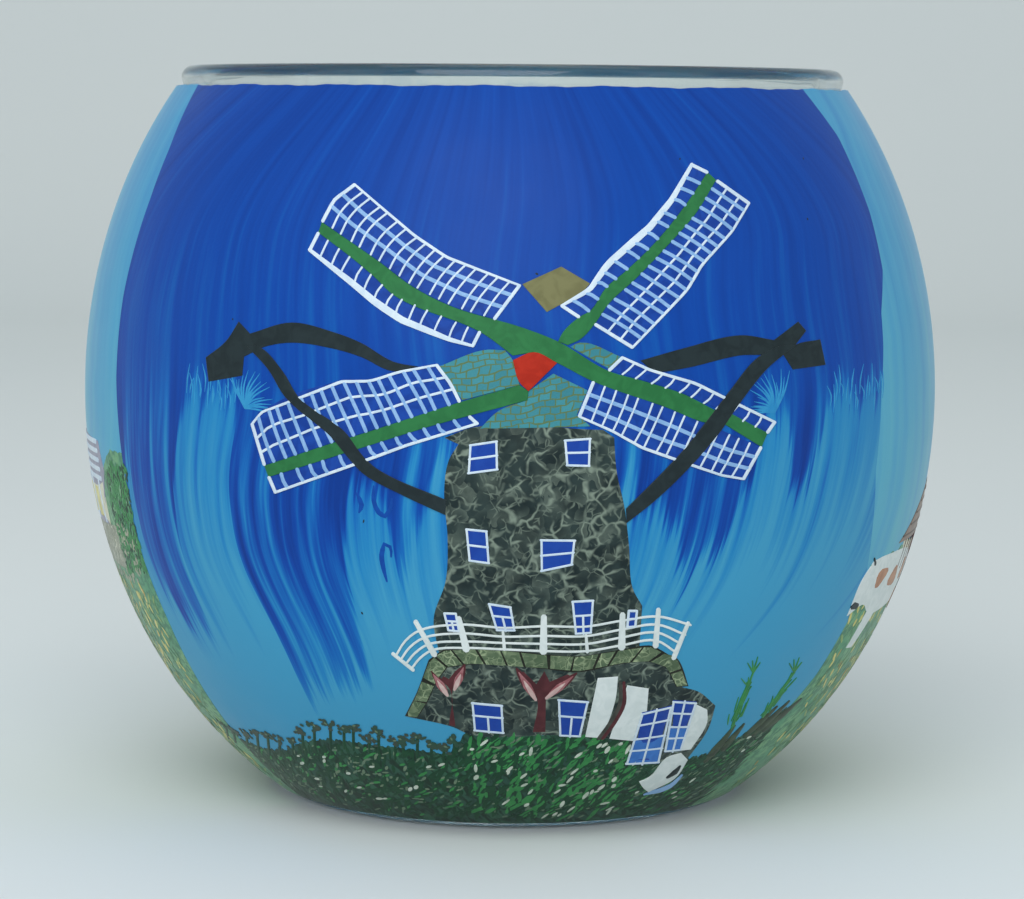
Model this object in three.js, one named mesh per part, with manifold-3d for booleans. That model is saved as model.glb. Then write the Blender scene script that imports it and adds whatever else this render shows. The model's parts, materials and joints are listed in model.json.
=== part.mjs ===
// Tea-light globe: a round clear-glass bowl, open at the top, clad in a baked-clay picture of a
// windmill, with the tea light that burns in it.
//
// Millimetres, +Z up. The origin is the centre of the foot and the windmill faces -Y.
// The clay is one skin of even thickness. Sheets of the full thickness (sky, meadow, stonework) lie
// on the glass, and thin inlays (sails, beams, windows, animals) sit flush in pockets cut in them.
// Outlines are [across, up] pairs, as seen by someone facing that side of the globe.
import * as THREE from "three";
import { mergeVertices } from "three/addons/utils/BufferGeometryUtils.js";
import Module from "manifold-3d";

const wasm = await Module();
wasm.setup();

// Globe: the clay's outer profile is half an ellipse below the belly and half above it.
const BELLY_RADIUS = 55;
const BELLY_HEIGHT = 51.75;
const CURVE_BELOW = 61.4;
const CURVE_ABOVE = 62.8;
const SKIN_BOTTOM = 1;
const SKIN_TOP = 90.8;
const ROUND_SEGMENTS = 48;
const RINGS_BELOW = 8;
const RINGS_ABOVE = 6;

// Layers, measured inwards from the clay's outer face.
const INLAY_DEPTH = 0.45;
const POCKET_DEPTH = 0.6;
const SKIN_DEPTH = 1.1;
const GLASS_FACE = 1.2;
const GLASS_WALL = 3;
const GAP = 0.3;

// Glass beyond the clay: the rim collar, the base and the foot with its shallow hollow.
const RIM_HEIGHT = 93.2;
const RIM_RADIUS = 42.5;
const RIM_ROUND = 1.3;
const FLOOR_HEIGHT = 6;
const FLOOR_RADIUS = 28;
const FOOT_RADIUS = 28.6;
const FOOT_HOLLOW_RADIUS = 20;
const FOOT_HOLLOW_DEPTH = 0.8;

// Tea light.
const CUP_RADIUS = 19;
const CUP_HEIGHT = 16;
const CUP_WALL = 0.4;
const CUP_LIP = 0.5;
const CUP_SEGMENTS = 40;
const CUP_REST = FLOOR_HEIGHT + 0.1;
const WAX_HEIGHT = 13.5;
const WICK_RADIUS = 0.9;
const WICK_RISE = 6;
const SUSTAINER_RADIUS = 6;
const SUSTAINER_THICK = 0.4;

// Seams between the front picture and the side picture, degrees round from the front.
const SEAM_LEFT = -59;
const SEAM_RIGHT = 55.5;

const LEFT = -90;
const RIGHT = 90;

const COLOUR = {
  glass: "#dfe9e6",
  deepSky: "#2257ad",
  paleSky: "#5f9fc4",
  grass: "#2c5a38",
  meadow: "#6f9150",
  stone: "#56605a",
  moss: "#8a9a5c",
  leafGreen: "#2f7340",
  lattice: "#b9cbe0",
  brick: "#57a2ae",
  red: "#b32d22",
  tan: "#857d58",
  timber: "#2b3434",
  white: "#ccd6d6",
  pane: "#1d3f9a",
  bark: "#5a3234",
  roof: "#8a7666",
  aluminium: "#c9ccce",
  wax: "#efeadf",
  cotton: "#e2dcc8",
};

const CLAY_ROUGHNESS = 0.42;

// Gives the closed solid of a three.js geometry.
function solid(geometry) {
  geometry.deleteAttribute("normal");
  geometry.deleteAttribute("uv");
  const merged = mergeVertices(geometry, 1e-4);
  return new wasm.Manifold(
    new wasm.Mesh({
      numProp: 3,
      vertProperties: merged.attributes.position.array,
      triVerts: new Uint32Array(merged.index.array),
    }),
  );
}

// Gives the three.js geometry of a solid.
function geometryOf(body) {
  const mesh = body.getMesh();
  return new THREE.BufferGeometry()
    .setAttribute("position", new THREE.BufferAttribute(new Float32Array(mesh.vertProperties), 3))
    .setIndex(new THREE.BufferAttribute(new Uint32Array(mesh.triVerts), 1));
}

// Turns a profile of [radius, height] points about the Z axis, with its first edge at the front.
function turned(profile, segments = ROUND_SEGMENTS) {
  const points = profile.map(([radius, height]) => new THREE.Vector2(radius, height));
  return solid(new THREE.LatheGeometry(points, segments).rotateX(Math.PI / 2));
}

// One point of the globe's profile at an angle above the belly, moved inwards by a depth.
function profilePoint(angle, depth) {
  const curve = angle < 0 ? CURVE_BELOW : CURVE_ABOVE;
  const out = new THREE.Vector2(Math.cos(angle) / BELLY_RADIUS, Math.sin(angle) / curve).normalize();
  return [
    BELLY_RADIUS * Math.cos(angle) - depth * out.x,
    BELLY_HEIGHT + curve * Math.sin(angle) - depth * out.y,
  ];
}

// The profile from the clay's bottom edge up to its top edge, at one depth.
function profile(depth) {
  const lowest = Math.asin((SKIN_BOTTOM - BELLY_HEIGHT) / CURVE_BELOW);
  const highest = Math.asin((SKIN_TOP - BELLY_HEIGHT) / CURVE_ABOVE);
  const points = [];
  for (let i = 0; i < RINGS_BELOW; i++) points.push(profilePoint(lowest * (1 - i / RINGS_BELOW), depth));
  for (let i = 0; i <= RINGS_ABOVE; i++) points.push(profilePoint((highest * i) / RINGS_ABOVE, depth));
  return points;
}

// A shell of the globe between two depths.
function shell(outer, inner) {
  const ring = [...profile(outer), ...profile(inner).reverse()];
  return turned([...ring, ring[0]]);
}

// Moves each edge of an outline inwards by a distance, or outwards when it is negative.
function inset(outline, distance) {
  const corners = outline.map(([across, up]) => new THREE.Vector2(across, up));
  if (THREE.ShapeUtils.area(corners) < 0) corners.reverse();
  const inward = (from, to) => {
    const edge = to.clone().sub(from).normalize();
    return new THREE.Vector2(-edge.y, edge.x);
  };
  return corners.map((corner, i) => {
    const before = corners.at(i - 1);
    const after = corners[(i + 1) % corners.length];
    const first = inward(before, corner);
    const bisector = first.clone().add(inward(corner, after)).normalize();
    const reach = distance / Math.max(bisector.dot(first), 0.4);
    return corner.clone().addScaledVector(bisector, reach);
  });
}

// A straight-sided block with the given outline, from the axis out past the clay, facing one side.
function block(outline, facing = 0) {
  const reach = BELLY_RADIUS + 5;
  const geometry = new THREE.ExtrudeGeometry(new THREE.Shape(outline), {
    depth: reach,
    bevelEnabled: false,
  });
  return solid(geometry.rotateX(Math.PI / 2).rotateZ(THREE.MathUtils.degToRad(facing)));
}

// A wedge of the whole height between two angles round from the front.
function wedge(from, to) {
  const reach = 3 * BELLY_RADIUS;
  const step = (to - from) / 4;
  const shape = [new THREE.Vector2(0, 0)];
  for (let i = 0; i <= 4; i++) {
    const angle = THREE.MathUtils.degToRad(from + i * step - 90);
    shape.push(new THREE.Vector2(reach * Math.cos(angle), reach * Math.sin(angle)));
  }
  return solid(
    new THREE.ExtrudeGeometry(new THREE.Shape(shape), { depth: RIM_HEIGHT + 10, bevelEnabled: false }),
  );
}

const together = (solids) => solids.reduce((sum, one) => sum.add(one));

// --- Picture outlines -------------------------------------------------------------------------

// A sail has two lattices, one each side of its stock. Each line runs from the hub end to the tip:
// the broad lattice's outer edge, the stock's two sides, and the narrow lattice's outer edge.
const SAILS = {
  upper_left: {
    broad: [[1.1, 68.2], [-3.4, 69.8], [-7.3, 71.3], [-10.9, 73.6], [-14.3, 76.4], [-18.0, 79.3], [-20.5, 77.4]],
    stockBroad: [[-1.8, 64.3], [-6.6, 65.7], [-11.2, 67.9], [-15.2, 70.7], [-18.2, 72.6], [-21.8, 74.9]],
    stockNarrow: [[-3.4, 62.9], [-7.9, 64.7], [-13.2, 66.8], [-15.6, 68.9], [-18.3, 71.0], [-22.2, 73.7]],
    narrow: [[-4.2, 61.3], [-6.9, 62.0], [-12.4, 64.1], [-15.4, 66.0], [-18.4, 68.3], [-23.2, 71.7]],
  },
  upper_right: {
    broad: [[13.9, 61.1], [16.7, 64.0], [20.2, 67.5], [22.0, 70.4], [25.6, 74.1], [27.7, 77.3], [23.9, 79.9]],
    stockBroad: [[9.5, 63.8], [11.2, 66.2], [14.2, 68.9], [17.7, 72.4], [21.3, 76.3], [23.7, 80.0]],
    stockNarrow: [[7.7, 64.6], [9.1, 65.4], [10.8, 67.9], [13.1, 69.8], [16.6, 73.1], [19.9, 77.0], [22.7, 80.9]],
    narrow: [[5.7, 65.9], [8.9, 67.7], [11.0, 70.6], [15.8, 74.7], [18.4, 77.8], [20.8, 81.8]],
  },
  lower_left: {
    broad: [[-6.6, 57.0], [-8.3, 59.2], [-12.7, 58.3], [-15.8, 57.2], [-19.3, 57.0], [-23.7, 55.1],
      [-28.7, 53.0], [-29.9, 51.5]],
    stockBroad: [[-5.6, 55.0], [-12.8, 52.5], [-20.4, 49.8], [-28.4, 46.7]],
    stockNarrow: [[-4.5, 53.4], [-8.9, 52.2], [-13.0, 50.8], [-20.4, 48.2], [-27.9, 45.4]],
    narrow: [[-3.6, 52.6], [-7.1, 51.4], [-11.5, 50.0], [-15.9, 48.0], [-23.6, 45.1], [-27.1, 43.6]],
  },
  lower_right: {
    narrow: [[12.7, 60.1], [16.0, 58.6], [21.2, 57.0], [24.3, 55.2], [27.0, 54.8], [30.8, 52.1]],
    stockNarrow: [[11.1, 58.6], [15.1, 57.4], [19.8, 55.8], [23.4, 53.9], [25.6, 53.3], [29.9, 50.9]],
    stockBroad: [[9.4, 57.4], [13.2, 56.0], [17.9, 54.3], [22.2, 52.5], [24.8, 52.1], [29.2, 49.3]],
    broad: [[7.8, 53.4], [11.6, 51.7], [15.1, 49.7], [19.1, 48.2], [24.4, 46.2], [27.1, 45.6]],
  },
};

const between = (line, other) => [...line, ...other.toReversed()];
const latticeOutline = (sail, side) =>
  between(SAILS[sail][side], SAILS[sail][side === "broad" ? "stockBroad" : "stockNarrow"]);

// The long stock runs through both upper-left and lower-right sails; the other two end at it.
const LONG_STOCK = [
  ...SAILS.upper_left.stockBroad.toReversed(),
  [1.2, 63.5], [5.4, 61.9],
  ...SAILS.lower_right.stockNarrow,
  ...SAILS.lower_right.stockBroad.toReversed(),
  [5.3, 59.5], [2.7, 60.7], [0.3, 60.3],
  ...SAILS.upper_left.stockNarrow,
];
const SHORT_STOCK_UPPER = [
  [5.4, 61.9], [5.9, 62.9],
  ...SAILS.upper_right.stockNarrow,
  ...SAILS.upper_right.stockBroad.toReversed(),
  [8.0, 62.2], [6.5, 61.5],
];
const SHORT_STOCK_LOWER = [
  [1.1, 57.0],
  ...SAILS.lower_left.stockBroad,
  ...SAILS.lower_left.stockNarrow.toReversed(),
  [-1.5, 54.3], [2.0, 55.3], [2.1, 56.3],
];

const HUB = [[0.3, 59.8], [2.7, 60.7], [5.3, 59.5], [2.1, 56.3], [1.0, 57.4]];
const FINIAL = [[1.3, 68.3], [5.7, 70.3], [9.0, 68.4], [7.6, 66.9], [5.6, 66.0], [4.1, 65.2]];
const CAP_LEFT = [[-8.0, 59.0], [-5.6, 59.9], [-3.0, 60.9], [-0.6, 60.9], [0.3, 59.8], [1.0, 57.4], [1.1, 57.0],
  [-5.4, 55.2]];
const CAP_RIGHT = [[6.8, 61.3], [7.9, 61.8], [12.7, 60.1], [11.2, 58.8]];
const CAP_FRONT = [[2.1, 56.3], [4.9, 58.3], [8.8, 56.4], [7.6, 53.6], [9.2, 52.3], [-3.4, 52.0], [-1.2, 54.1],
  [2.0, 55.3]];

// Tail beams: a weighted arm each side of the cap, and the brace that runs down to the tower.
const ARM_LEFT = [[-33.2, 60.8], [-31.6, 63.2], [-30.2, 61.9], [-25.2, 63.4], [-20.2, 62.5], [-17.0, 61.4],
  [-13.3, 59.4], [-10.4, 58.9], [-13.3, 58.3], [-17.0, 59.8], [-20.1, 60.6], [-25.2, 61.1], [-28.6, 60.4],
  [-30.9, 59.2], [-31.1, 57.0], [-35.3, 56.0], [-35.8, 58.7]];
const ARM_RIGHT = [[14.8, 59.7], [19.8, 61.0], [26.5, 62.3], [30.6, 61.6], [33.6, 63.6], [34.6, 62.5], [33.2, 60.9],
  [36.4, 61.4], [37.1, 58.4], [33.0, 58.0], [31.6, 60.1], [26.5, 60.0], [19.8, 58.7], [16.4, 58.4]];
const BRACE_LEFT = [[-29.1, 60.4], [-26.2, 57.7], [-24.3, 54.9], [-18.9, 51.2], [-16.6, 48.3], [-15.2, 47.1],
  [-11.8, 45.7], [-7.2, 43.7], [-7.3, 42.1], [-12.3, 44.3], [-16.6, 46.5], [-18.3, 48.2], [-20.4, 50.6],
  [-25.8, 54.9], [-27.9, 58.0], [-30.4, 60.4]];
const BRACE_RIGHT = [[33.2, 60.9], [29.7, 58.4], [26.3, 54.4], [24.0, 51.2], [20.7, 47.5], [16.8, 43.8],
  [13.5, 41.2], [13.4, 42.7], [16.1, 45.4], [19.7, 49.1], [22.7, 52.7], [25.2, 55.8], [28.6, 59.6], [31.6, 60.9]];

const TOWER = [[-7.4, 50.9], [-3.9, 52.2], [10.6, 51.9], [11.9, 51.0], [12.2, 47.3], [13.2, 42.8], [13.8, 38.3],
  [14.3, 33.3], [15.5, 31.0], [15.3, 25.2], [-8.0, 25.2], [-8.6, 29.5], [-8.2, 30.8], [-7.2, 34.2], [-7.0, 39.4],
  [-7.4, 44.4], [-6.9, 48.3], [-5.8, 50.2]];
const BASE_WALL = [[-9.6, 22.2], [-8.0, 25.2], [16.9, 25.2], [20.7, 20.2], [22.7, 19.4], [24.9, 17.2], [24.2, 13.9],
  [21.9, 9.8], [17.5, 9.3], [15.6, 12.4], [11.9, 13.8], [6.0, 14.5], [-4.5, 14.6], [-6.4, 15.5], [-12.1, 16.7]];
const DECK = [[-12.1, 16.7], [-10.9, 19.3], [-9.9, 22.3], [-9.2, 24.3], [-7.5, 25.7], [-4.0, 26.0], [0.1, 25.8],
  [4.1, 25.3], [8.2, 25.0], [13.4, 25.7], [16.4, 26.0], [18.6, 25.5], [20.1, 23.8], [21.4, 20.3], [19.9, 20.3],
  [18.6, 23.0], [16.4, 23.9], [13.4, 23.8], [8.2, 22.9], [4.1, 23.4], [-4.0, 23.9], [-7.0, 23.4], [-8.2, 21.6],
  [-9.4, 18.7], [-10.6, 16.6]];
const RAILING = [[-13.2, 24.4], [-11.9, 27.2], [-10.9, 29.3], [-8.2, 28.9], [-4.5, 29.6], [0.1, 29.3], [4.1, 29.4],
  [9.3, 29.3], [13.0, 30.0], [17.3, 30.6], [21.4, 28.6], [19.2, 24.4], [16.4, 26.2], [13.4, 25.9], [8.2, 25.2],
  [4.1, 25.5], [-4.0, 26.2], [-7.7, 25.8], [-9.8, 24.3], [-11.0, 22.8]];

const TREE_LEFT = [[-7.1, 15.6], [-6.9, 20.4], [-8.7, 22.4], [-8.5, 23.1], [-6.9, 22.2], [-5.4, 24.0], [-5.0, 23.6],
  [-6.2, 20.6], [-5.9, 15.4]];
const TREE_RIGHT = [[2.8, 14.8], [3.2, 19.6], [1.0, 22.6], [1.8, 23.4], [3.3, 21.8], [4.2, 23.7], [5.0, 22.0],
  [7.0, 22.9], [7.9, 22.3], [4.7, 19.5], [4.7, 14.8]];
const PANEL_LEFT = [[10.5, 22.1], [12.9, 22.2], [12.7, 19.2], [11.3, 13.9], [9.2, 14.2]];
const PANEL_MIDDLE = [[14.0, 21.0], [16.6, 20.4], [16.5, 17.3], [15.3, 13.2], [12.1, 13.8]];
const PANEL_RIGHT = [[22.5, 17.7], [23.9, 16.8], [24.0, 14.9], [22.2, 11.2], [20.9, 11.2]];
const GOOSE = [[16.0, 7.1], [17.3, 7.7], [19.2, 10.4], [21.0, 10.9], [21.9, 9.7], [20.5, 7.0], [17.3, 5.2],
  [16.6, 6.0]];

const MEADOW_FRONT = [[-45, 9.6], [-34.9, 9.6], [-28.3, 8.8], [-25.6, 9.5], [-23.3, 11.4], [-20.4, 12.3],
  [-13.0, 12.0], [-6.5, 11.5], [-4.5, 14.6], [6.0, 14.5], [11.9, 13.8], [15.6, 12.4], [17.5, 9.3], [21.9, 9.8],
  [24.5, 10.2], [28.7, 12.6], [33.0, 14.8], [45, 16.2], [45, -1], [-45, -1]];

// Window outlines: each is a slice of clay with a white frame and blue panes.
const WINDOWS = {
  window_upper_left: [[-4.5, 50.2], [-1.4, 50.7], [-1.3, 47.3], [-4.7, 46.8]],
  window_upper_right: [[6.2, 50.8], [9.2, 51.0], [9.1, 47.7], [6.5, 47.8]],
  window_middle_left: [[-4.9, 40.5], [-2.5, 40.3], [-2.2, 36.3], [-4.5, 36.6]],
  window_middle_right: [[3.6, 39.3], [7.6, 39.2], [7.3, 36.2], [3.7, 35.4]],
  window_gallery_left: [[-2.3, 31.6], [0.3, 31.2], [0.8, 28.2], [-1.3, 28.2]],
  window_gallery_right: [[7.3, 31.9], [9.8, 32.0], [9.6, 27.8], [7.8, 27.7]],
  window_gallery_far_left: [[-7.4, 30.3], [-6.0, 30.3], [-5.6, 28.0], [-6.9, 28.1]],
  window_base_left: [[-4.2, 19.0], [-0.6, 18.7], [-0.4, 14.8], [-3.9, 15.1]],
  window_base_right: [[5.9, 19.5], [9.5, 19.1], [8.6, 14.2], [6.2, 14.4]],
  window_big_left: [[15.9, 17.2], [19.5, 17.9], [18.3, 9.6], [14.2, 9.8]],
  window_big_right: [[19.6, 18.6], [22.5, 18.1], [20.9, 11.2], [18.9, 11.2]],
};

// The side picture, carried round the back as one sheet of sky over one meadow.
const MEADOW_CREST = 31;
const HEDGE = [[17, 20], [29, 20], [29, 45.6], [24, 45.8], [20.9, 43.5], [18, 37]];
const HOUSE = [[4.0, 35.8], [3.2, 41.4], [6.0, 46.8], [19.2, 46.5], [20.6, 42.8], [19.4, 40.6], [17.6, 35.8]];
const COW = [[-28.6, 31.0], [-27.3, 33.3], [-24.2, 33.6], [-12.4, 32.8], [-9.5, 31.2], [-9.2, 21.6], [-11.2, 21.6],
  [-11.6, 26.0], [-20.0, 25.7], [-21.6, 21.6], [-23.4, 21.8], [-23.2, 26.4], [-25.6, 27.6], [-28.2, 26.6]];
const BARN_ROOF = [[-20.6, 34.6], [-9.4, 40.8], [5.0, 40.8], [9.0, 34.6]];

// --- Building ---------------------------------------------------------------------------------

const globe = new THREE.Group();

// Adds one named piece to the globe.
function add(name, body, colour, options = {}) {
  const material = new THREE.MeshStandardMaterial({
    color: colour,
    roughness: CLAY_ROUGHNESS,
    metalness: 0,
    ...options,
  });
  const mesh = new THREE.Mesh(geometryOf(body), material);
  mesh.name = name;
  globe.add(mesh);
}

const inlayShell = shell(0, INLAY_DEPTH);
const pocketShell = shell(-1, POCKET_DEPTH);
const skinShell = shell(0, SKIN_DEPTH);
const pockets = [];

// Lets one inlay into the skin, clear of the inlays made before it. An inlay that an earlier one
// crosses comes out in several bodies, which are named from left to right.
function inlay(names, outline, colour, facing = 0) {
  let body = inlayShell.intersect(block(inset(outline, GAP / 2), facing));
  for (const pocket of pockets) body = body.subtract(pocket);
  pockets.push(block(inset(outline, -GAP / 2), facing));
  const centre = (one) => one.boundingBox().min[0] + one.boundingBox().max[0];
  const bodies = body
    .decompose()
    .toSorted((one, other) => other.volume() - one.volume())
    .slice(0, names.length)
    .toSorted((one, other) => centre(one) - centre(other));
  names.forEach((name, i) => add(name, bodies[i], colour));
}

function addInlays() {
  inlay(["hub"], HUB, COLOUR.red);
  inlay(["brace_left"], BRACE_LEFT, COLOUR.timber);
  inlay(["brace_right"], BRACE_RIGHT, COLOUR.timber);
  inlay(["long_stock_left", "long_stock_right"], LONG_STOCK, COLOUR.leafGreen);
  inlay(["short_stock_upper"], SHORT_STOCK_UPPER, COLOUR.leafGreen);
  inlay(["short_stock_lower_outer", "short_stock_lower_inner"], SHORT_STOCK_LOWER, COLOUR.leafGreen);
  for (const sail of ["upper_left", "upper_right"])
    for (const side of ["broad", "narrow"])
      inlay([`sail_${sail}_${side}`], latticeOutline(sail, side), COLOUR.lattice);
  for (const side of ["broad", "narrow"]) {
    const left = latticeOutline("lower_left", side);
    inlay([`sail_lower_left_${side}_outer`, `sail_lower_left_${side}_inner`], left, COLOUR.lattice);
    const right = latticeOutline("lower_right", side);
    inlay([`sail_lower_right_${side}_inner`, `sail_lower_right_${side}_outer`], right, COLOUR.lattice);
  }
  inlay(["arm_left"], ARM_LEFT, COLOUR.timber);
  inlay(["arm_right", "arm_right_weight"], ARM_RIGHT, COLOUR.timber);
  inlay(["cap_finial"], FINIAL, COLOUR.tan);
  inlay(["cap_left"], CAP_LEFT, COLOUR.brick);
  inlay(["cap_right"], CAP_RIGHT, COLOUR.brick);
  inlay(["cap_front"], CAP_FRONT, COLOUR.brick);
  for (const [name, outline] of Object.entries(WINDOWS)) inlay([name], outline, COLOUR.pane);
  inlay(["gallery_railing"], RAILING, COLOUR.white);
  inlay(["gallery_deck"], DECK, COLOUR.moss);
  inlay(["tree_left"], TREE_LEFT, COLOUR.bark);
  inlay(["tree_right"], TREE_RIGHT, COLOUR.bark);
  inlay(["panel_left"], PANEL_LEFT, COLOUR.white);
  inlay(["panel_middle"], PANEL_MIDDLE, COLOUR.white);
  inlay(["panel_right"], PANEL_RIGHT, COLOUR.white);
  inlay(["goose"], GOOSE, COLOUR.white);
  inlay(["house"], HOUSE, COLOUR.white, LEFT);
  inlay(["cow"], COW, COLOUR.white, RIGHT);
  inlay(["barn_roof"], BARN_ROOF, COLOUR.roof, RIGHT);
}

// The full-thickness sheets, cut back from each other and from the inlays' pockets.
function addSheets() {
  const pocketed = skinShell.subtract(pocketShell.intersect(together(pockets)));
  const seam = THREE.MathUtils.radToDeg(GAP / 2 / BELLY_RADIUS);
  const front = pocketed.intersect(wedge(SEAM_LEFT + seam, SEAM_RIGHT - seam));
  const back = pocketed.subtract(wedge(SEAM_LEFT - seam, SEAM_RIGHT + seam));
  const sheet = (outline, facing) => block(inset(outline, GAP / 2), facing);
  const cutter = (outline, facing) => block(inset(outline, -GAP / 2), facing);

  const largest = (body) =>
    body.decompose().reduce((best, one) => (one.volume() > best.volume() ? one : best));
  add("tower_wall", largest(front.intersect(sheet(TOWER))), COLOUR.stone);
  add("base_wall", largest(front.intersect(sheet(BASE_WALL))), COLOUR.stone);
  const stonework = together([TOWER, BASE_WALL].map((outline) => cutter(outline)));
  const grass = front.intersect(sheet(MEADOW_FRONT)).subtract(stonework);
  add("meadow_front", largest(grass), COLOUR.grass);
  const sky = front.subtract(together([stonework, cutter(MEADOW_FRONT)]));
  add("sky_front", largest(sky), COLOUR.deepSky);

  const width = 3 * BELLY_RADIUS;
  const ground = (height) => solid(new THREE.BoxGeometry(width, width, 2 * height));
  const fields = ground(MEADOW_CREST - GAP / 2).add(sheet(HEDGE, LEFT));
  const hills = ground(MEADOW_CREST + GAP / 2).add(cutter(HEDGE, LEFT));
  add("meadow_back", largest(back.intersect(fields)), COLOUR.meadow);
  add("sky_back", largest(back.subtract(hills)), COLOUR.paleSky);
}

function addGlass() {
  const outside = profile(GLASS_FACE);
  const inside = profile(GLASS_FACE + GLASS_WALL)
    .filter(([, height]) => height > FLOOR_HEIGHT + 1)
    .reverse();
  const rim = [
    [RIM_RADIUS - 0.2, SKIN_TOP + 0.6],
    [RIM_RADIUS, RIM_HEIGHT - RIM_ROUND],
    [RIM_RADIUS - 0.4 * RIM_ROUND, RIM_HEIGHT - 0.3 * RIM_ROUND],
    [RIM_RADIUS - RIM_ROUND, RIM_HEIGHT],
    [RIM_RADIUS - GLASS_WALL + 0.6, RIM_HEIGHT - 0.3 * RIM_ROUND],
    [RIM_RADIUS - GLASS_WALL, RIM_HEIGHT - RIM_ROUND],
  ];
  const foot = [
    [0, FOOT_HOLLOW_DEPTH],
    [FOOT_HOLLOW_RADIUS - 2, FOOT_HOLLOW_DEPTH],
    [FOOT_HOLLOW_RADIUS, 0],
    [FOOT_RADIUS, 0],
    [FOOT_RADIUS + 1, 0.6],
  ];
  const bowl = turned([...foot, ...outside, ...rim, ...inside, [FLOOR_RADIUS, FLOOR_HEIGHT], [0, FLOOR_HEIGHT]]);
  add("glass_bowl", bowl, COLOUR.glass, { roughness: 0.05, transparent: true, opacity: 0.35 });
}

function addTeaLight() {
  const floor = CUP_REST + CUP_WALL;
  const top = CUP_REST + CUP_HEIGHT;
  const bore = CUP_RADIUS - CUP_WALL;
  const cup = [[0, CUP_REST], [CUP_RADIUS - 1, CUP_REST], [CUP_RADIUS, CUP_REST + 1], [CUP_RADIUS, top - 0.6],
    [CUP_RADIUS + CUP_LIP, top - 0.3], [CUP_RADIUS, top], [bore, top - 0.3], [bore, floor + 1],
    [bore - 1, floor], [0, floor]];
  add("candle_cup", turned(cup, CUP_SEGMENTS), COLOUR.aluminium, { roughness: 0.3, metalness: 1 });

  const sustainerTop = floor + 0.1 + SUSTAINER_THICK;
  const sustainer = [[0, floor + 0.1], [SUSTAINER_RADIUS, floor + 0.1], [SUSTAINER_RADIUS, sustainerTop],
    [0, sustainerTop]];
  add("wick_sustainer", turned(sustainer, 24), COLOUR.aluminium, { roughness: 0.35, metalness: 1 });

  const waxTop = CUP_REST + WAX_HEIGHT;
  const waxRadius = bore - 0.1;
  const core = WICK_RADIUS + 0.1;
  const wax = [[core, sustainerTop + 0.1], [SUSTAINER_RADIUS + 0.2, sustainerTop + 0.1],
    [SUSTAINER_RADIUS + 0.2, floor + 0.1], [waxRadius - 1, floor + 0.1], [waxRadius, floor + 1.1],
    [waxRadius, waxTop], [core + 5, waxTop - 0.6], [core, waxTop - 0.8], [core, sustainerTop + 0.1]];
  add("candle_wax", turned(wax, CUP_SEGMENTS), COLOUR.wax, { roughness: 0.5 });

  const wickTop = waxTop + WICK_RISE;
  const wick = [[0, sustainerTop + 0.1], [WICK_RADIUS, sustainerTop + 0.1], [WICK_RADIUS, wickTop - 0.8],
    [WICK_RADIUS * 0.6, wickTop], [0, wickTop]];
  add("candle_wick", turned(wick, 12), COLOUR.cotton, { roughness: 0.9 });
}

addGlass();
addInlays();
addSheets();
addTeaLight();

export default globe;
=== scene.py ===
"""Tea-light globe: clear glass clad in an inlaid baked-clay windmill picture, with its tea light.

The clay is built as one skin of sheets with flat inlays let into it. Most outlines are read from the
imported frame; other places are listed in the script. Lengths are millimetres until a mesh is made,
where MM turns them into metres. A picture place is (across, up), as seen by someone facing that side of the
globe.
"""

import json
import logging
import math
import random
from collections.abc import Callable, Iterable, Sequence
from dataclasses import dataclass
from enum import Enum

import bpy
import numpy as np
from mathutils import Euler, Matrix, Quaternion, Vector
from mathutils.geometry import delaunay_2d_cdt

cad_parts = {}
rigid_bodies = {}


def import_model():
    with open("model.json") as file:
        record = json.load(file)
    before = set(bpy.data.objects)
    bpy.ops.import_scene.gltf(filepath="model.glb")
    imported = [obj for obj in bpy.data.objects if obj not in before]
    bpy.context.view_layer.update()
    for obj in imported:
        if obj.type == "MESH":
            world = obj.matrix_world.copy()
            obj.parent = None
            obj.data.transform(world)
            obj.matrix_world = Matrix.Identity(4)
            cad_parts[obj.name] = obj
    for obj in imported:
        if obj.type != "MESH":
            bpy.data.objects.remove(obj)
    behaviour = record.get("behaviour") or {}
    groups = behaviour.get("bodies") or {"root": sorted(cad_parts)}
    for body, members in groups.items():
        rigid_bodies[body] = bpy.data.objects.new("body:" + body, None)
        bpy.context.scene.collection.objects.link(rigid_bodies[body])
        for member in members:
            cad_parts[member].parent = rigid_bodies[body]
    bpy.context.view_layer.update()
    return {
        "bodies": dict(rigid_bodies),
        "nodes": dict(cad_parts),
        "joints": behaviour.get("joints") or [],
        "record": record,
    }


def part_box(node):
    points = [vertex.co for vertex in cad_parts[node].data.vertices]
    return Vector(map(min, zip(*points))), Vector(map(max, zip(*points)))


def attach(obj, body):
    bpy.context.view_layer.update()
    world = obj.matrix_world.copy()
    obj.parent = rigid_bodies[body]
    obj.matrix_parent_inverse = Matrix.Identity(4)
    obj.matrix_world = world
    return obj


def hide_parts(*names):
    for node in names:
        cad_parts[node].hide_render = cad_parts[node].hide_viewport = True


MM = 0.001
GAP = 0.3  # between neighbouring pieces as packed
TOUCH = 0.45  # outlines nearer than this lie against each other
SHEET_BACK = 0.97  # least depth of the back of a sheet or stone
INLAY_BACK = 0.34  # least depth of the back of a thin inlay
Point = tuple[float, float]
Line = "np.ndarray | Sequence"
Number = "Wire | float"

log = logging.getLogger("globe")


class Facing(Enum):
    """Side of the globe that a flat outline is seen from, in degrees round from the front."""

    FRONT = 0.0
    LEFT = -90.0
    RIGHT = 90.0


class Level(float, Enum):
    """How far a layer of the picture stands proud of the sky, in millimetres."""

    SKY = -0.08
    FIELD = -0.055
    STONE = -0.03
    INLAY = 0.0
    DETAIL = 0.03
    BEAM = 0.08
    CROWN = 0.1


# --- Flat outlines ----------------------------------------------------------------------------


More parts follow.
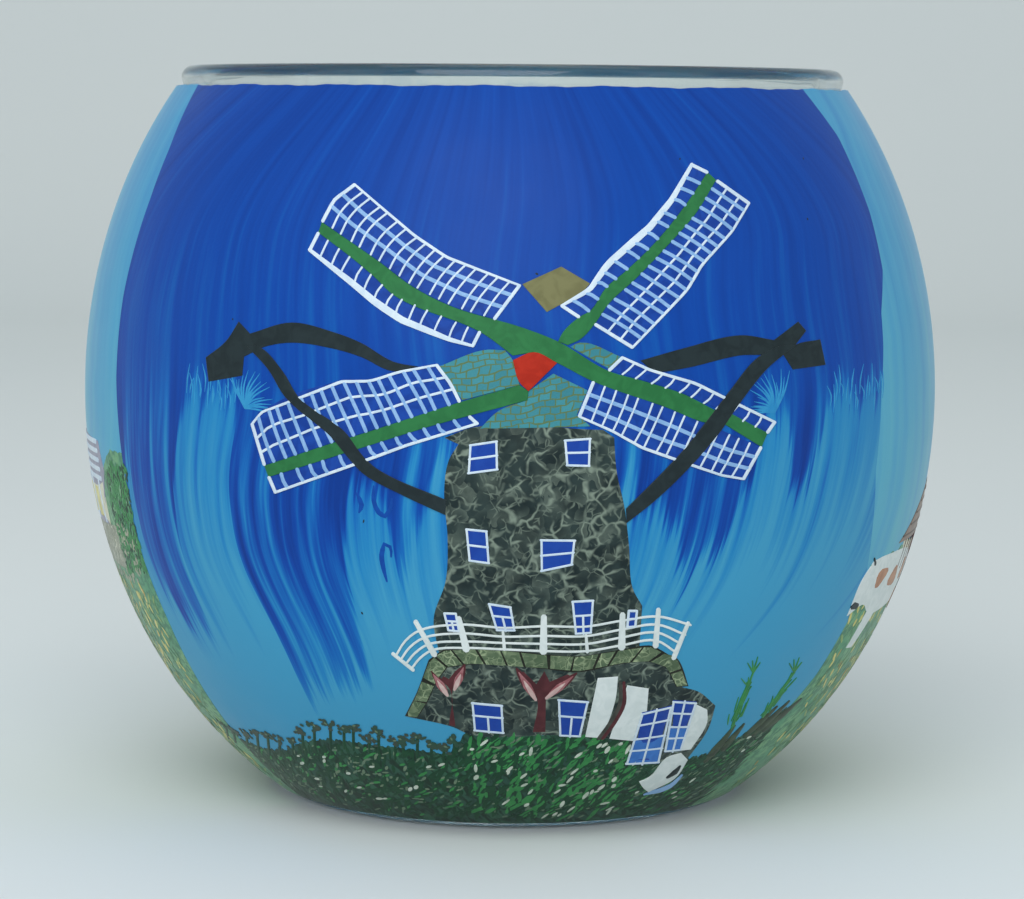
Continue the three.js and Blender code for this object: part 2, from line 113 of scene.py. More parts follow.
def unit(vectors: np.ndarray) -> np.ndarray:
    """Gives vectors of length one along the last axis."""
    return vectors / np.maximum(np.linalg.norm(vectors, axis=-1, keepdims=True), 1e-9)


def area(loop: np.ndarray) -> float:
    """Gives the signed area of a closed outline, positive when it runs anticlockwise."""
    after = np.roll(loop, -1, 0)
    return float(np.sum(loop[:, 0] * after[:, 1] - after[:, 0] * loop[:, 1]) / 2)


def turns(loop: np.ndarray) -> np.ndarray:
    """Gives the change of direction at each corner of a closed outline, in degrees."""
    arrive = unit(loop - np.roll(loop, 1, 0))
    leave = unit(np.roll(loop, -1, 0) - loop)
    return np.degrees(np.arccos(np.clip(np.sum(arrive * leave, -1), -1, 1)))


def simplified(loop: np.ndarray, least_turn: float = 1.6, least_edge: float = 0.12) -> np.ndarray:
    """Drops the corners that hardly turn and those that all but meet their neighbour.

    Args:
        loop: Closed outline.
        least_turn: Corners that turn less than this many degrees go.
        least_edge: Corners nearer than this to the one before go.

    Returns:
        The outline with fewer corners.
    """
    gap = np.linalg.norm(loop - np.roll(loop, 1, 0), axis=1)
    loop = loop[gap > least_edge]
    while len(loop) > 4:
        bends = turns(loop)
        weakest = int(np.argmin(bends))
        if bends[weakest] > least_turn:
            break
        loop = np.delete(loop, weakest, 0)
    return loop


def grown(loop: np.ndarray, distance: float) -> np.ndarray:
    """Moves each edge of an anticlockwise outline outwards by a distance, or inwards if negative."""
    arrive = unit(loop - np.roll(loop, 1, 0))
    leave = unit(np.roll(loop, -1, 0) - loop)
    outward = np.stack([arrive[:, 1], -arrive[:, 0]], -1)
    bisector = unit(outward + np.stack([leave[:, 1], -leave[:, 0]], -1))
    reach = distance / np.maximum(np.sum(bisector * outward, -1), 0.4)
    return loop + bisector * reach[:, None]


def curve(points: np.ndarray, corner: float = 48.0, step: float = 0.7, closed: bool = True) -> np.ndarray:
    """Runs a smooth line through points, keeping the sharp corners.

    Args:
        points: The places that the line passes through.
        corner: A turn sharper than this many degrees stays a corner.
        step: Longest distance between the points of the result.
        closed: Whether the line comes back to its start.

    Returns:
        The points of the smooth line.
    """
    after = np.roll(points, -1, 0)
    leave = unit(after - points)
    arrive = np.roll(leave, 1, 0)
    if not closed:
        leave[-1] = leave[-2]
        arrive[0] = leave[0]
    bend = np.degrees(np.arccos(np.clip(np.sum(arrive * leave, -1), -1, 1)))
    through = unit(arrive + leave)
    made = []
    for i in range(len(points) if closed else len(points) - 1):
        j = (i + 1) % len(points)
        chord = float(np.linalg.norm(points[j] - points[i]))
        start = (leave[i] if bend[i] > corner else through[i]) * chord
        end = (arrive[j] if bend[j] > corner else through[j]) * chord
        count = max(1, math.ceil(chord / step))
        for k in range(count):
            t = k / count
            made.append(
                (2 * t**3 - 3 * t**2 + 1) * points[i]
                + (t**3 - 2 * t**2 + t) * start
                + (3 * t**2 - 2 * t**3) * points[j]
                + (t**3 - t**2) * end
            )
    if not closed:
        made.append(points[-1])
    return np.array(made)


def distances(points: np.ndarray, loop: np.ndarray) -> np.ndarray:
    """Gives each point's distance to a closed outline's edges."""
    start, edge = loop, np.roll(loop, -1, 0) - loop
    length = np.maximum(np.sum(edge * edge, -1), 1e-9)
    offset = points[:, None] - start[None]
    along = np.clip(np.sum(offset * edge[None], -1) / length, 0, 1)
    return np.linalg.norm(offset - along[..., None] * edge[None], axis=-1).min(1)


def inside(points: np.ndarray, loop: np.ndarray) -> np.ndarray:
    """Tells which points lie inside a closed outline."""
    x, y = points[:, 0, None], points[:, 1, None]
    ax, ay = loop[:, 0], loop[:, 1]
    bx, by = np.roll(ax, -1), np.roll(ay, -1)
    crosses = (ay > y) != (by > y)
    slope = (bx - ax) / np.where(by == ay, 1e-9, by - ay)
    return np.sum(crosses & (x < ax + (y - ay) * slope), 1) % 2 == 1


def along(line: np.ndarray, shares: np.ndarray) -> np.ndarray:
    """Gives the points at shares of an open line's length."""
    steps = np.linalg.norm(np.diff(line, axis=0), axis=1)
    walked = np.concatenate([[0], np.cumsum(steps)])
    places = np.clip(shares, 0, 1) * walked[-1]
    return np.stack([np.interp(places, walked, line[:, k]) for k in range(line.shape[1])], -1)


class Band:
    """A four-sided patch between a near and a far line, both running from its start to its end."""

    def __init__(self, near: np.ndarray, far: np.ndarray, start: np.ndarray, end: np.ndarray) -> None:
        """Keeps the four sides.

        Args:
            near: Line at share 0 across.
            far: Line at share 1 across.
            start: Line from near to far at the start.
            end: Line from near to far at the end.
        """
        self.near, self.far, self.start, self.end = near, far, start, end

    def at(self, run: np.ndarray, over: np.ndarray) -> np.ndarray:
        """Gives the places at shares of the way along and across the patch."""
        run, over = np.broadcast_arrays(np.asarray(run, float), np.asarray(over, float))
        r, o = run[:, None], over[:, None]
        sides = (1 - o) * along(self.near, run) + o * along(self.far, run)
        ends = (1 - r) * along(self.start, over) + r * along(self.end, over)
        corners = (
            (1 - r) * (1 - o) * self.near[0]
            + (1 - r) * o * self.far[0]
            + r * (1 - o) * self.near[-1]
            + r * o * self.far[-1]
        )
        return sides + ends - corners

    @classmethod
    def beside(cls, outline: np.ndarray, spines: Sequence[np.ndarray], hub: np.ndarray) -> "Band":
        """Splits an outline into the side that lies on a spine, the far side and the two ends.

        Args:
            outline: Closed outline of the patch.
            spines: Closed outlines of the pieces that one side lies against.
            hub: Place that the patch starts near.

        Returns:
            The patch, from the end nearer to the hub.
        """
        touching = np.min([distances(outline, spine) for spine in spines], 0) < TOUCH
        free = np.where(~touching, turns(outline), 0)
        first, second = sorted(np.argsort(free)[-2:])
        forward = np.arange(first, second + 1)
        backward = np.concatenate([np.arange(second, len(outline)), np.arange(0, first + 1)])
        if touching[forward].any():
            forward, backward = backward, forward
        far = outline[forward]
        rest = outline[backward]
        touch = touching[backward]
        lead, last = int(np.argmax(touch)), len(touch) - 1 - int(np.argmax(touch[::-1]))
        near, end, start = rest[lead : last + 1][::-1], rest[: lead + 1][::-1], rest[last:]
        if np.linalg.norm(far[0] - hub) > np.linalg.norm(far[-1] - hub):
            near, far, start, end = near[::-1], far[::-1], end, start
        return cls(near, far, start, end)


# --- The globe's form -------------------------------------------------------------------------


@dataclass(frozen=True)
class Globe:
    """Outer face of the clay: half an ellipse below the belly and half of another above it."""

    belly_radius: float
    belly_height: float
    curve_below: float
    curve_above: float
    bottom: float
    top: float
    thickness: float

    @classmethod
    def measured(cls, *sheets: bpy.types.Object) -> "Globe":
        """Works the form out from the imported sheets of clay."""
        points = np.concatenate([vertices(sheet) for sheet in sheets])
        radii = np.hypot(points[:, 0], points[:, 1])
        widest, lowest, highest = np.argmax(radii), np.argmin(points[:, 2]), np.argmax(points[:, 2])
        belly, height = float(radii[widest]), float(points[widest, 2])
        at_belly = radii[np.abs(points[:, 2] - height) < 0.01]
        reach = [math.sqrt(1 - (radii[i] / belly) ** 2) for i in (lowest, highest)]
        return cls(
            belly_radius=belly,
            belly_height=height,
            curve_below=float(height - points[lowest, 2]) / reach[0],
            curve_above=float(points[highest, 2] - height) / reach[1],
            bottom=float(points[lowest, 2]),
            top=float(points[highest, 2]),
            thickness=float(at_belly.max() - at_belly.min()),
        )

    def _curve(self, height: np.ndarray) -> np.ndarray:
        """Gives the half height of the ellipse that holds at a height."""
        return np.where(height < self.belly_height, self.curve_below, self.curve_above)

    def radius(self, height: np.ndarray) -> np.ndarray:
        """Gives the clay's outer radius at a height."""
        share = (height - self.belly_height) / self._curve(height)
        return self.belly_radius * np.sqrt(np.maximum(1 - share**2, 0))

    def depth(self, points: np.ndarray) -> np.ndarray:
        """Gives how far points lie under the outer face."""
        radius, rise = np.hypot(points[:, 0], points[:, 1]), points[:, 2] - self.belly_height
        half = self._curve(points[:, 2])
        share = np.sqrt((radius / self.belly_radius) ** 2 + (rise / half) ** 2)
        slope = np.sqrt((radius / self.belly_radius**2) ** 2 + (rise / half**2) ** 2) / share
        return (1 - share) / slope

    def place(self, azimuth: np.ndarray, height: np.ndarray, proud: np.ndarray | float) -> np.ndarray:
        """Gives points on the globe.

        Args:
            azimuth: Angle round from the front towards the viewer's right, radians.
            height: Height above the foot.
            proud: Distance outwards from the clay's outer face.

        Returns:
            One row of x, y, z for each place.
        """
        given = (np.asarray(value, float) for value in (azimuth, height, proud))
        azimuth, height, proud = np.broadcast_arrays(*given)
        radius, rise = self.radius(height), height - self.belly_height
        normal = unit(np.stack([radius / self.belly_radius**2, rise / self._curve(height) ** 2], -1))
        out, up = radius + proud * normal[..., 0], height + proud * normal[..., 1]
        return np.stack([out * np.sin(azimuth), -out * np.cos(azimuth), up], -1)

    def azimuth(self, across: np.ndarray, up: np.ndarray, facing: Facing) -> np.ndarray:
        """Gives the angle round from the front of picture places."""
        share = np.clip(across / np.maximum(self.radius(up), 1e-6), -1, 1)
        return math.radians(facing.value) + np.arcsin(share)

    def stepped(
        self, azimuth: np.ndarray, height: np.ndarray, east: np.ndarray, north: np.ndarray
    ) -> tuple[np.ndarray, np.ndarray]:
        """Walks over the face: east round the globe and north up it, in millimetres."""
        radius = self.radius(height)
        fall = (self.radius(height + 0.01) - radius) / 0.01
        return azimuth + east / radius, height + north / np.sqrt(1 + fall**2)


def vertices(node: bpy.types.Object) -> np.ndarray:
    """Gives a node's vertices in millimetres."""
    flat = np.zeros(len(node.data.vertices) * 3)
    node.data.vertices.foreach_get("co", flat)
    return flat.reshape(-1, 3) / MM


class Stencils:
    """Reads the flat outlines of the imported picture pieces."""

    def __init__(self, globe: Globe, nodes: dict[str, bpy.types.Object]) -> None:
        """Keeps the globe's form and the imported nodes."""
        self.globe, self.nodes = globe, nodes

    def loop(self, node: str, facing: Facing = Facing.FRONT) -> np.ndarray:
        """Gives the outline of a piece, as its back face shows it, widened to meet its neighbours.

        Args:
            node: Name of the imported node.
            facing: Side that the piece is seen from.

        Returns:
            The anticlockwise outline, as rows of across and up.
        """
        edges, points = self.back_edges(node)
        best = max(self._chained(edges), key=lambda chain: abs(area(self._flat(points[chain], facing))))
        flat = self._flat(points[best], facing)
        flat = flat if area(flat) > 0 else flat[::-1]
        return grown(simplified(flat), GAP / 2)

    def joined(self, names: Sequence[str], crossing: np.ndarray) -> np.ndarray:
        """Gives one outline for a piece that a beam crosses.

        Args:
            names: The two nodes, one each side of the beam.
            crossing: Outline of the beam.

        Returns:
            The anticlockwise outline without the beam's cut.
        """
        parts = []
        for name in names:
            loop = self.loop(name)
            cut = distances(loop, crossing) < TOUCH
            first = int(np.argmax(cut & ~np.roll(cut, -1)))
            order = (np.arange(len(loop)) + first + 1) % len(loop)
            parts.append(loop[order][~cut[order]])
        return np.concatenate(parts)

    def crest(self, node: str, low: float, high: float, count: int = 240) -> tuple[np.ndarray, np.ndarray]:
        """Gives the top edge of a sheet as heights at even angles.

        Args:
            node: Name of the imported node.
            low: First angle, degrees.
            high: Last angle, degrees.
            count: How many angles.

        Returns:
            The angles in radians and the heights.
        """
        edges, points = self.back_edges(node)
        shares = np.linspace(0, 1, 24)[:, None, None]
        ends = points[np.array(edges)]
        samples = (ends[None, :, 0] * (1 - shares) + ends[None, :, 1] * shares).reshape(-1, 3)
        angles = np.arctan2(samples[:, 0], -samples[:, 1])
        angles = np.where(angles < math.radians(low), angles + 2 * math.pi, angles)
        wanted = np.radians(np.linspace(low, high, count))
        reach = wanted[1] - wanted[0]
        heights = np.array([samples[np.abs(angles - w) < reach, 2].max(initial=0.0) for w in wanted])
        known = heights > 0
        return wanted, np.interp(wanted, wanted[known], heights[known])

    def back_edges(self, node: str) -> tuple[list[tuple[int, int]], np.ndarray]:
        """Gives the border edges of a piece's back face, and the merged vertices they join."""
        thing = self.nodes[node]
        points, index = np.unique(np.round(vertices(thing), 3), axis=0, return_inverse=True)
        index = index.reshape(-1)
        depth = self.globe.depth(points)
        floor = SHEET_BACK if depth.max() > SHEET_BACK else INLAY_BACK
        thing.data.calc_loop_triangles()
        border: set[tuple[int, int]] = set()
        for triangle in thing.data.loop_triangles:
            corners = [int(index[v]) for v in triangle.vertices]
            if min(depth[corners]) < floor:
                continue
            for pair in zip(corners, corners[1:] + corners[:1]):
                if pair[::-1] in border:
                    border.remove(pair[::-1])
                else:
                    border.add(pair)
        return sorted(border), points

    @staticmethod
    def _chained(edges: Iterable[tuple[int, int]]) -> list[list[int]]:
        """Links border edges into closed chains."""
        onward = dict(edges)
        chains = []
        while onward:
            start = next(iter(onward))
            chain = [start]
            here = onward.pop(start)
            while here != start and here in onward:
                chain.append(here)
                here = onward.pop(here)
            chains.append(chain)
        return chains

    @staticmethod
    def _flat(points: np.ndarray, facing: Facing) -> np.ndarray:
        """Projects points on the picture plane of one side."""
        angle = math.radians(facing.value)
        across = points[:, 0] * math.cos(angle) + points[:, 1] * math.sin(angle)
        return np.stack([across, points[:, 2]], -1)


# --- Mesh making ------------------------------------------------------------------------------


class Relief:
    """Gathers closed solids that lie on the globe and makes one object of them."""

    def __init__(self, globe: Globe, facing: Facing = Facing.FRONT) -> None:
        """Starts with nothing on one side of the globe."""
        self.globe, self.facing = globe, facing
        self.points: list[np.ndarray] = []
        self.faces: list[list[int]] = []
        self.count = 0

    def _add(self, points: np.ndarray, faces: Iterable[Sequence[int]]) -> None:
        """Adds one solid."""
        self.faces.extend([[int(i) + self.count for i in face] for face in faces])
        self.points.append(points)
        self.count += len(points)

    def _lay(self, flat: np.ndarray, proud: np.ndarray | float) -> np.ndarray:
        """Lays picture places on the globe."""
        angle = self.globe.azimuth(flat[:, 0], flat[:, 1], self.facing)
        return self.globe.place(angle, flat[:, 1], proud)

    def tile(self, outline: Line, proud: float, bevel: float = 0.05, sunk: float = 0.3) -> None:
        """Adds a flat inlay with eased edges.

        Args:
            outline: Closed anticlockwise outline, already smooth.
            proud: Height of its face over the sky.
            bevel: Width of the eased edge.
            sunk: How deep it is let in.
        """
        outline = np.asarray(outline, float)
        inner = grown(outline, -bevel)
        low, high = inner.min(0), inner.max(0)
        pitch = 1.0
        rows = np.arange(low[1], high[1] + pitch, pitch * 0.87)
        columns = np.arange(low[0], high[0], pitch)
        grid = np.array([(x + pitch / 2 * (r % 2), y) for r, y in enumerate(rows) for x in columns])
        keep = inside(grid, inner) & (distances(grid, inner) > pitch * 0.4) if len(grid) else []
        wanted = np.concatenate([inner, grid[keep]]) if len(grid) else inner
        size = len(inner)
        sides = [(i, (i + 1) % size) for i in range(size)]
        flat, _, triangles, origins, _, _ = delaunay_2d_cdt([tuple(p) for p in wanted], sides, [], 1, 1e-6)
        where = {source: made for made, sources in enumerate(origins) for source in sources}
        ring = [where[i] for i in range(size) if i in where]
        if len(ring) < size:
            outline = outline[[i for i in range(size) if i in where]]
            size = len(ring)
        cover = np.array([tuple(p) for p in flat])
        total = len(cover)
        edge = proud - 0.8 * bevel
        layers = ((cover, proud), (cover, -sunk), (outline, edge), (outline, -sunk))
        points = np.concatenate([self._lay(flat, height) for flat, height in layers])
        faces = [list(t) for t in triangles] + [[total + v for v in reversed(t)] for t in triangles]
        for i, j in zip(range(size), list(range(1, size)) + [0]):
            a, b = ring[i], ring[j]
            c, d = 2 * total + i, 2 * total + j
            e, f = 2 * total + size + i, 2 * total + size + j
            faces += [[a, c, d, b], [c, e, f, d], [e, total + a, total + b, f]]
        self._add(points, faces)

    def strand(
        self,
        line: Line,
        width: float | Sequence[float],
        proud: float,
        rise: float = 0.03,
        smooth: bool = True,
    ) -> None:
        """Adds a thin rolled string of clay pressed into the picture.

        Args:
            line: Open line of places.
            width: Its width, or its widths at even shares of its length.
            proud: Height of its edges over the sky.
            rise: How far its middle stands over its edges.
            smooth: Whether the line is rounded between its places.
        """
        path = np.asarray(line, float)
        if smooth:
            path = curve(path, 70, 0.8, closed=False)
        shares = np.linspace(0, 1, len(path))
        widths = np.interp(shares, np.linspace(0, 1, np.size(width)), np.atleast_1d(width))
        forward = unit(np.gradient(path, axis=0))
        side = np.stack([-forward[:, 1], forward[:, 0]], -1)
        shoulder = rise * 0.8
        section = [(-0.5, -0.16), (-0.5, 0.0), (-0.25, shoulder), (0.0, rise)]
        section += [(0.25, shoulder), (0.5, 0.0), (0.5, -0.16)]
        rings = []
        tips = [(path[0] - forward[0] * widths[0] * 0.35, 0.45), *[(p, 1.0) for p in path]]
        tips.append((path[-1] + forward[-1] * widths[-1] * 0.35, 0.45))
        spread = [widths[0], *widths, widths[-1]]
        normals = [side[0], *side, side[-1]]
        for (place, share), size, normal in zip(tips, spread, normals):
            for offset, height in section:
                rings.append(np.array([*(place + normal * offset * size * share), proud + height]))
        rings = np.array(rings)
        across = len(section)
        points = self._lay(rings[:, :2], rings[:, 2])
        faces = []
        for i in range(len(tips) - 1):
            for k in range(across):
                a, b = i * across + k, i * across + (k + 1) % across
                faces.append([a, b, b + across, a + across])
        faces.append(list(range(across))[::-1])
        faces.append([len(tips) * across - across + k for k in range(across)])
        self._add(points, faces)

    def petals(
        self,
        azimuth: np.ndarray,
        height: np.ndarray,
        length: np.ndarray,
        width: np.ndarray,
        lean: np.ndarray,
        proud: float,
    ) -> None:
        """Adds many small lens-shaped chips.

        Args:
            azimuth: Angle of each chip's middle, radians.
            height: Height of each chip's middle.
            length: Length of each.
            width: Width of each.
            lean: Angle of each from upright towards the viewer's right, radians.
            proud: Height of their edges over the sky.
        """
        sides = 8
        spin = np.linspace(0, 2 * math.pi, sides, endpoint=False)
        reach, spread = np.cos(spin), np.sin(spin) * (0.75 + 0.25 * np.abs(np.sin(spin)))
        count = len(azimuth)
        long = length[:, None] / 2 * reach
        wide = width[:, None] / 2 * spread
        east = long * np.sin(lean)[:, None] + wide * np.cos(lean)[:, None]
        north = long * np.cos(lean)[:, None] - wide * np.sin(lean)[:, None]
        angle, level = self.globe.stepped(azimuth[:, None], height[:, None], east, north)
        ring = self.globe.place(angle, level, proud)
        top = self.globe.place(azimuth, height, proud + 0.025)[:, None]
        low = self.globe.place(azimuth, height, -0.2)[:, None]
        points = np.concatenate([ring, top, low], 1).reshape(-1, 3)
        faces = []
        for i in range(count):
            base = i * (sides + 2)
            for k in range(sides):
                a, b = base + k, base + (k + 1) % sides
                faces += [[b, a, base + sides], [a, b, base + sides + 1]]
        self._add(points, faces)

    def sheet(
        self,
        edges: tuple[Callable[[np.ndarray], np.ndarray], Callable[[np.ndarray], np.ndarray]],
        levels: tuple[Callable[[np.ndarray], np.ndarray], Callable[[np.ndarray], np.ndarray]],
        size: tuple[int, int],
        proud: float,
        sunk: float,
    ) -> None:
        """Adds a large sheet between two side edges and two levels.

        Args:
            edges: Angles of the left and the right edge, radians, at a height.
            levels: Heights of the bottom and the top edge at an angle.
            size: Columns and rows.
            proud: Height of its face over the sky.
            sunk: Depth of its back.
        """
        columns, rows = size
        share, rise = np.meshgrid(np.linspace(0, 1, columns + 1), np.linspace(0, 1, rows + 1))
        guess = np.array(30.0)
        middle = (edges[0](guess) + edges[1](guess)) / 2
        height = levels[0](middle) + rise * (levels[1](middle) - levels[0](middle))
        for _ in range(3):
            angle = edges[0](height) * (1 - share) + edges[1](height) * share
            height = levels[0](angle) * (1 - rise) + levels[1](angle) * rise
        face = self.globe.place(angle, height, proud).reshape(-1, 3)
        back = self.globe.place(angle, height, -sunk).reshape(-1, 3)
        across = columns + 1
        total = len(face)
        faces = []
        for j in range(rows):
            for i in range(columns):
                a = j * across + i
                quad = [a, a + 1, a + across + 1, a + across]
                faces += [quad, [total + v for v in reversed(quad)]]
        border = [*range(across)]
        border += [j * across + columns for j in range(1, rows + 1)]
        border += [rows * across + i for i in range(columns - 1, -1, -1)]
        border += [j * across for j in range(rows - 1, 0, -1)]
        for a, b in zip(border, border[1:] + border[:1]):
            faces.append([b, a, total + a, total + b])
        self._add(np.concatenate([face, back]), faces)

    def made(self, name: str, finish: "Finish") -> bpy.types.Object:
        """Makes one object of all that was added."""
        return shaped(name, np.concatenate(self.points), self.faces, finish)


def shaped(
    name: str, points: np.ndarray, faces: Sequence[Sequence[int]], finish: "Finish", crease: float = 28.0
) -> bpy.types.Object:
    """Makes a smooth-shaded object.

    Args:
        name: Name of the piece.
        points: Its vertices, in millimetres.
        faces: Its faces.
        finish: What it is made of.
        crease: Edges sharper than this many degrees stay sharp.

    Returns:
        The new object.
    """
    mesh = bpy.data.meshes.new(name)
    mesh.from_pydata((points * MM).tolist(), [], [list(face) for face in faces])
    mesh.validate()
    mesh.shade_smooth()
    mesh.set_sharp_from_angle(angle=math.radians(crease))
    mesh.materials.append(finish.material())
    thing = bpy.data.objects.new(name, mesh)
    bpy.context.scene.collection.objects.link(thing)
    return thing


def turned(
    name: str, profile: Sequence[Point], finish: "Finish", sides: int = 160, crease: float = 30.0
) -> bpy.types.Object:
    """Turns a closed profile about the globe's axis.

    Args:
        name: Name of the piece.
        profile: Radius and height pairs, from the axis round to the axis or round to the start.
        finish: What it is made of.
        sides: How many steps round.
        crease: Edges sharper than this many degrees stay sharp.

    Returns:
        The new object.
    """
    points, rings = [], []
    for radius, height in profile:
        if radius < 1e-6:
            rings.append([len(points)] * sides)
            points.append((0.0, 0.0, height))
            continue
        rings.append(list(range(len(points), len(points) + sides)))
        for k in range(sides):
            angle = 2 * math.pi * k / sides
            points.append((radius * math.cos(angle), radius * math.sin(angle), height))
    open_ends = profile[0][0] < 1e-6 and profile[-1][0] < 1e-6
    pairs = list(zip(rings, rings[1:])) + ([] if open_ends else [(rings[-1], rings[0])])
    faces = []
    for low, high in pairs:
        for k in range(sides):
            n = (k + 1) % sides
            face = list(dict.fromkeys([low[k], low[n], high[n], high[k]]))
            if len(face) > 2:
                faces.append(face)
    return shaped(name, np.array(points), faces, finish, crease)


# --- Finishes ---------------------------------------------------------------------------------


def linear(shade: str) -> tuple[float, float, float, float]:
    """Gives the scene-linear colour of a #rrggbb shade."""
    parts = [int(shade[i : i + 2], 16) / 255 for i in (1, 3, 5)]
    red, green, blue = (v / 12.92 if v <= 0.04045 else ((v + 0.055) / 1.055) ** 2.4 for v in parts)
    return red, green, blue, 1.0


class Wire:
    """A node's output, which adds Math nodes when it is used in an expression."""

    def __init__(self, recipe: "Recipe", socket: bpy.types.NodeSocket) -> None:
        """Keeps the socket and the recipe that it belongs to."""
        self.recipe, self.socket = recipe, socket

    def _math(self, operation: str, *values: Number) -> "Wire":
        """Adds one Math node."""
        return self.recipe.node("ShaderNodeMath", {"operation": operation}, dict(enumerate(values)))

    def __add__(self, other: Number) -> "Wire":
        """Adds."""
        return self._math("ADD", self, other)

    __radd__ = __add__

    def __mul__(self, other: Number) -> "Wire":
        """Multiplies."""
        return self._math("MULTIPLY", self, other)

    __rmul__ = __mul__

    def __sub__(self, other: Number) -> "Wire":
        """Subtracts."""
        return self._math("SUBTRACT", self, other)

    def __rsub__(self, other: Number) -> "Wire":
        """Is subtracted from a number."""
        return self._math("SUBTRACT", other, self)

    def __truediv__(self, other: Number) -> "Wire":
        """Divides."""
        return self._math("DIVIDE", self, other)

    def __pow__(self, other: Number) -> "Wire":
        """Raises to a power."""
        return self._math("POWER", self, other)

    def larger(self, other: Number) -> "Wire":
        """Takes the larger of two."""
        return self._math("MAXIMUM", self, other)

    def root(self) -> "Wire":
        """Takes the square root."""
        return self._math("SQRT", self)

    def angle(self, other: "Wire") -> "Wire":
        """Gives the angle whose tangent is this over another, in degrees."""
        return self._math("ARCTAN2", self, other) * math.degrees(1)

    def clipped(self) -> "Wire":
        """Keeps the value between 0 and 1."""
        return self.recipe.node("ShaderNodeClamp", {}, {"Value": self})

    def between(self, low: Number, high: Number) -> "Wire":
        """Rises smoothly from 0 at low to 1 at high."""
        sockets = {"Value": self, "From Min": low, "From Max": high}
        return self.recipe.node("ShaderNodeMapRange", {"interpolation_type": "SMOOTHSTEP"}, sockets)


class Recipe:
    """The node tree of one material, ending in one Principled shader."""

    def __init__(self, name: str) -> None:
        """Starts a material with its shader."""
        self.material = bpy.data.materials.new(name)
        self.material.use_nodes = True
        self.tree = self.material.node_tree
        self.shader = next(n for n in self.tree.nodes if n.type == "BSDF_PRINCIPLED")

    def node(self, kind: str, settings: dict, sockets: dict, output: int = 0) -> Wire:
        """Adds a node.

        Args:
            kind: The node's type.
            settings: Its own settings; "stops" are a ramp's places and shades.
            sockets: Values or wires of its inputs, by name or number.
            output: Which output is wanted.

        Returns:
            The wire from that output.
        """
        made = self.tree.nodes.new(kind)
        for key, value in settings.items():
            if key == "stops":
                self._stops(made.color_ramp, value)
            else:
                setattr(made, key, value)
        for key, value in sockets.items():
            self._plug(made.inputs[key], value)
        return Wire(self, made.outputs[output])

    def _plug(self, socket: bpy.types.NodeSocket, value: "Wire | float | tuple") -> None:
        """Links a wire to a socket, or sets its value."""
        if isinstance(value, Wire):
            self.tree.links.new(value.socket, socket)
        else:
            socket.default_value = value

    @staticmethod
    def _stops(ramp: bpy.types.ColorRamp, stops: Sequence[tuple[float, str | float]]) -> None:
        """Sets the stops of a ramp: shades, or grey values."""
        while len(ramp.elements) < len(stops):
            ramp.elements.new(1.0)
        for element, (place, shade) in zip(ramp.elements, stops):
            element.position = place
            element.color = linear(shade) if isinstance(shade, str) else (shade, shade, shade, 1.0)

    def set(self, **values: "Wire | float | tuple") -> None:
        """Sets the shader's sockets, whose names are given with _ for a space."""
        for key, value in values.items():
            self._plug(self.shader.inputs[key.replace("_", " ")], value)

    def place(self) -> Wire:
        """Gives the place on the object, in millimetres."""
        here = self.node("ShaderNodeTexCoord", {}, {}, output=3)
        return self.node("ShaderNodeVectorMath", {"operation": "SCALE"}, {0: here, "Scale": 1 / MM})

    def parts(self, vector: Wire) -> tuple[Wire, Wire, Wire]:
        """Splits a vector."""
        split = self.node("ShaderNodeSeparateXYZ", {}, {0: vector})
        return split, *(Wire(self, split.socket.node.outputs[k]) for k in (1, 2))

    def vector(self, x: Number, y: Number, z: Number) -> Wire:
        """Joins three values to a vector."""
        return self.node("ShaderNodeCombineXYZ", {}, {0: x, 1: y, 2: z})

    def noise(self, at: Wire, scale: float, detail: float = 2.0, warp: float = 0.0) -> Wire:
        """Gives smooth noise between 0 and 1."""
        sockets = {"Vector": at, "Scale": scale, "Detail": detail, "Distortion": warp}
        return self.node("ShaderNodeTexNoise", {}, sockets)

    def mix(self, share: Number, first: "Wire | str", second: "Wire | str", mode: str = "MIX") -> Wire:
        """Mixes two colours."""
        pair = [linear(c) if isinstance(c, str) else c for c in (first, second)]
        settings = {"data_type": "RGBA", "blend_type": mode}
        return self.node("ShaderNodeMix", settings, {0: share, 6: pair[0], 7: pair[1]}, output=2)

    def ramp(self, value: Wire, *stops: tuple[float, str | float]) -> Wire:
        """Turns a value into a colour, or into a grey value."""
        return self.node("ShaderNodeValToRGB", {"stops": stops}, {0: value})

    def bump(self, height: Wire, depth: float) -> None:
        """Raises the surface by a height in shares of a depth in millimetres."""
        made = self.node("ShaderNodeBump", {}, {"Height": height, "Distance": depth * MM})
        self._plug(self.shader.inputs["Normal"], made)


@dataclass(frozen=True)
class Finish:
    """A material, made once and shared."""

    name: str

    def material(self) -> bpy.types.Material:
        """Gives the material, and makes it the first time."""
        found = bpy.data.materials.get(self.name)
        if found:
            return found
        recipe = Recipe(self.name)
        self.dress(recipe)
        return recipe.material

    def dress(self, recipe: Recipe) -> None:
        """Fills in the shader."""
        raise NotImplementedError


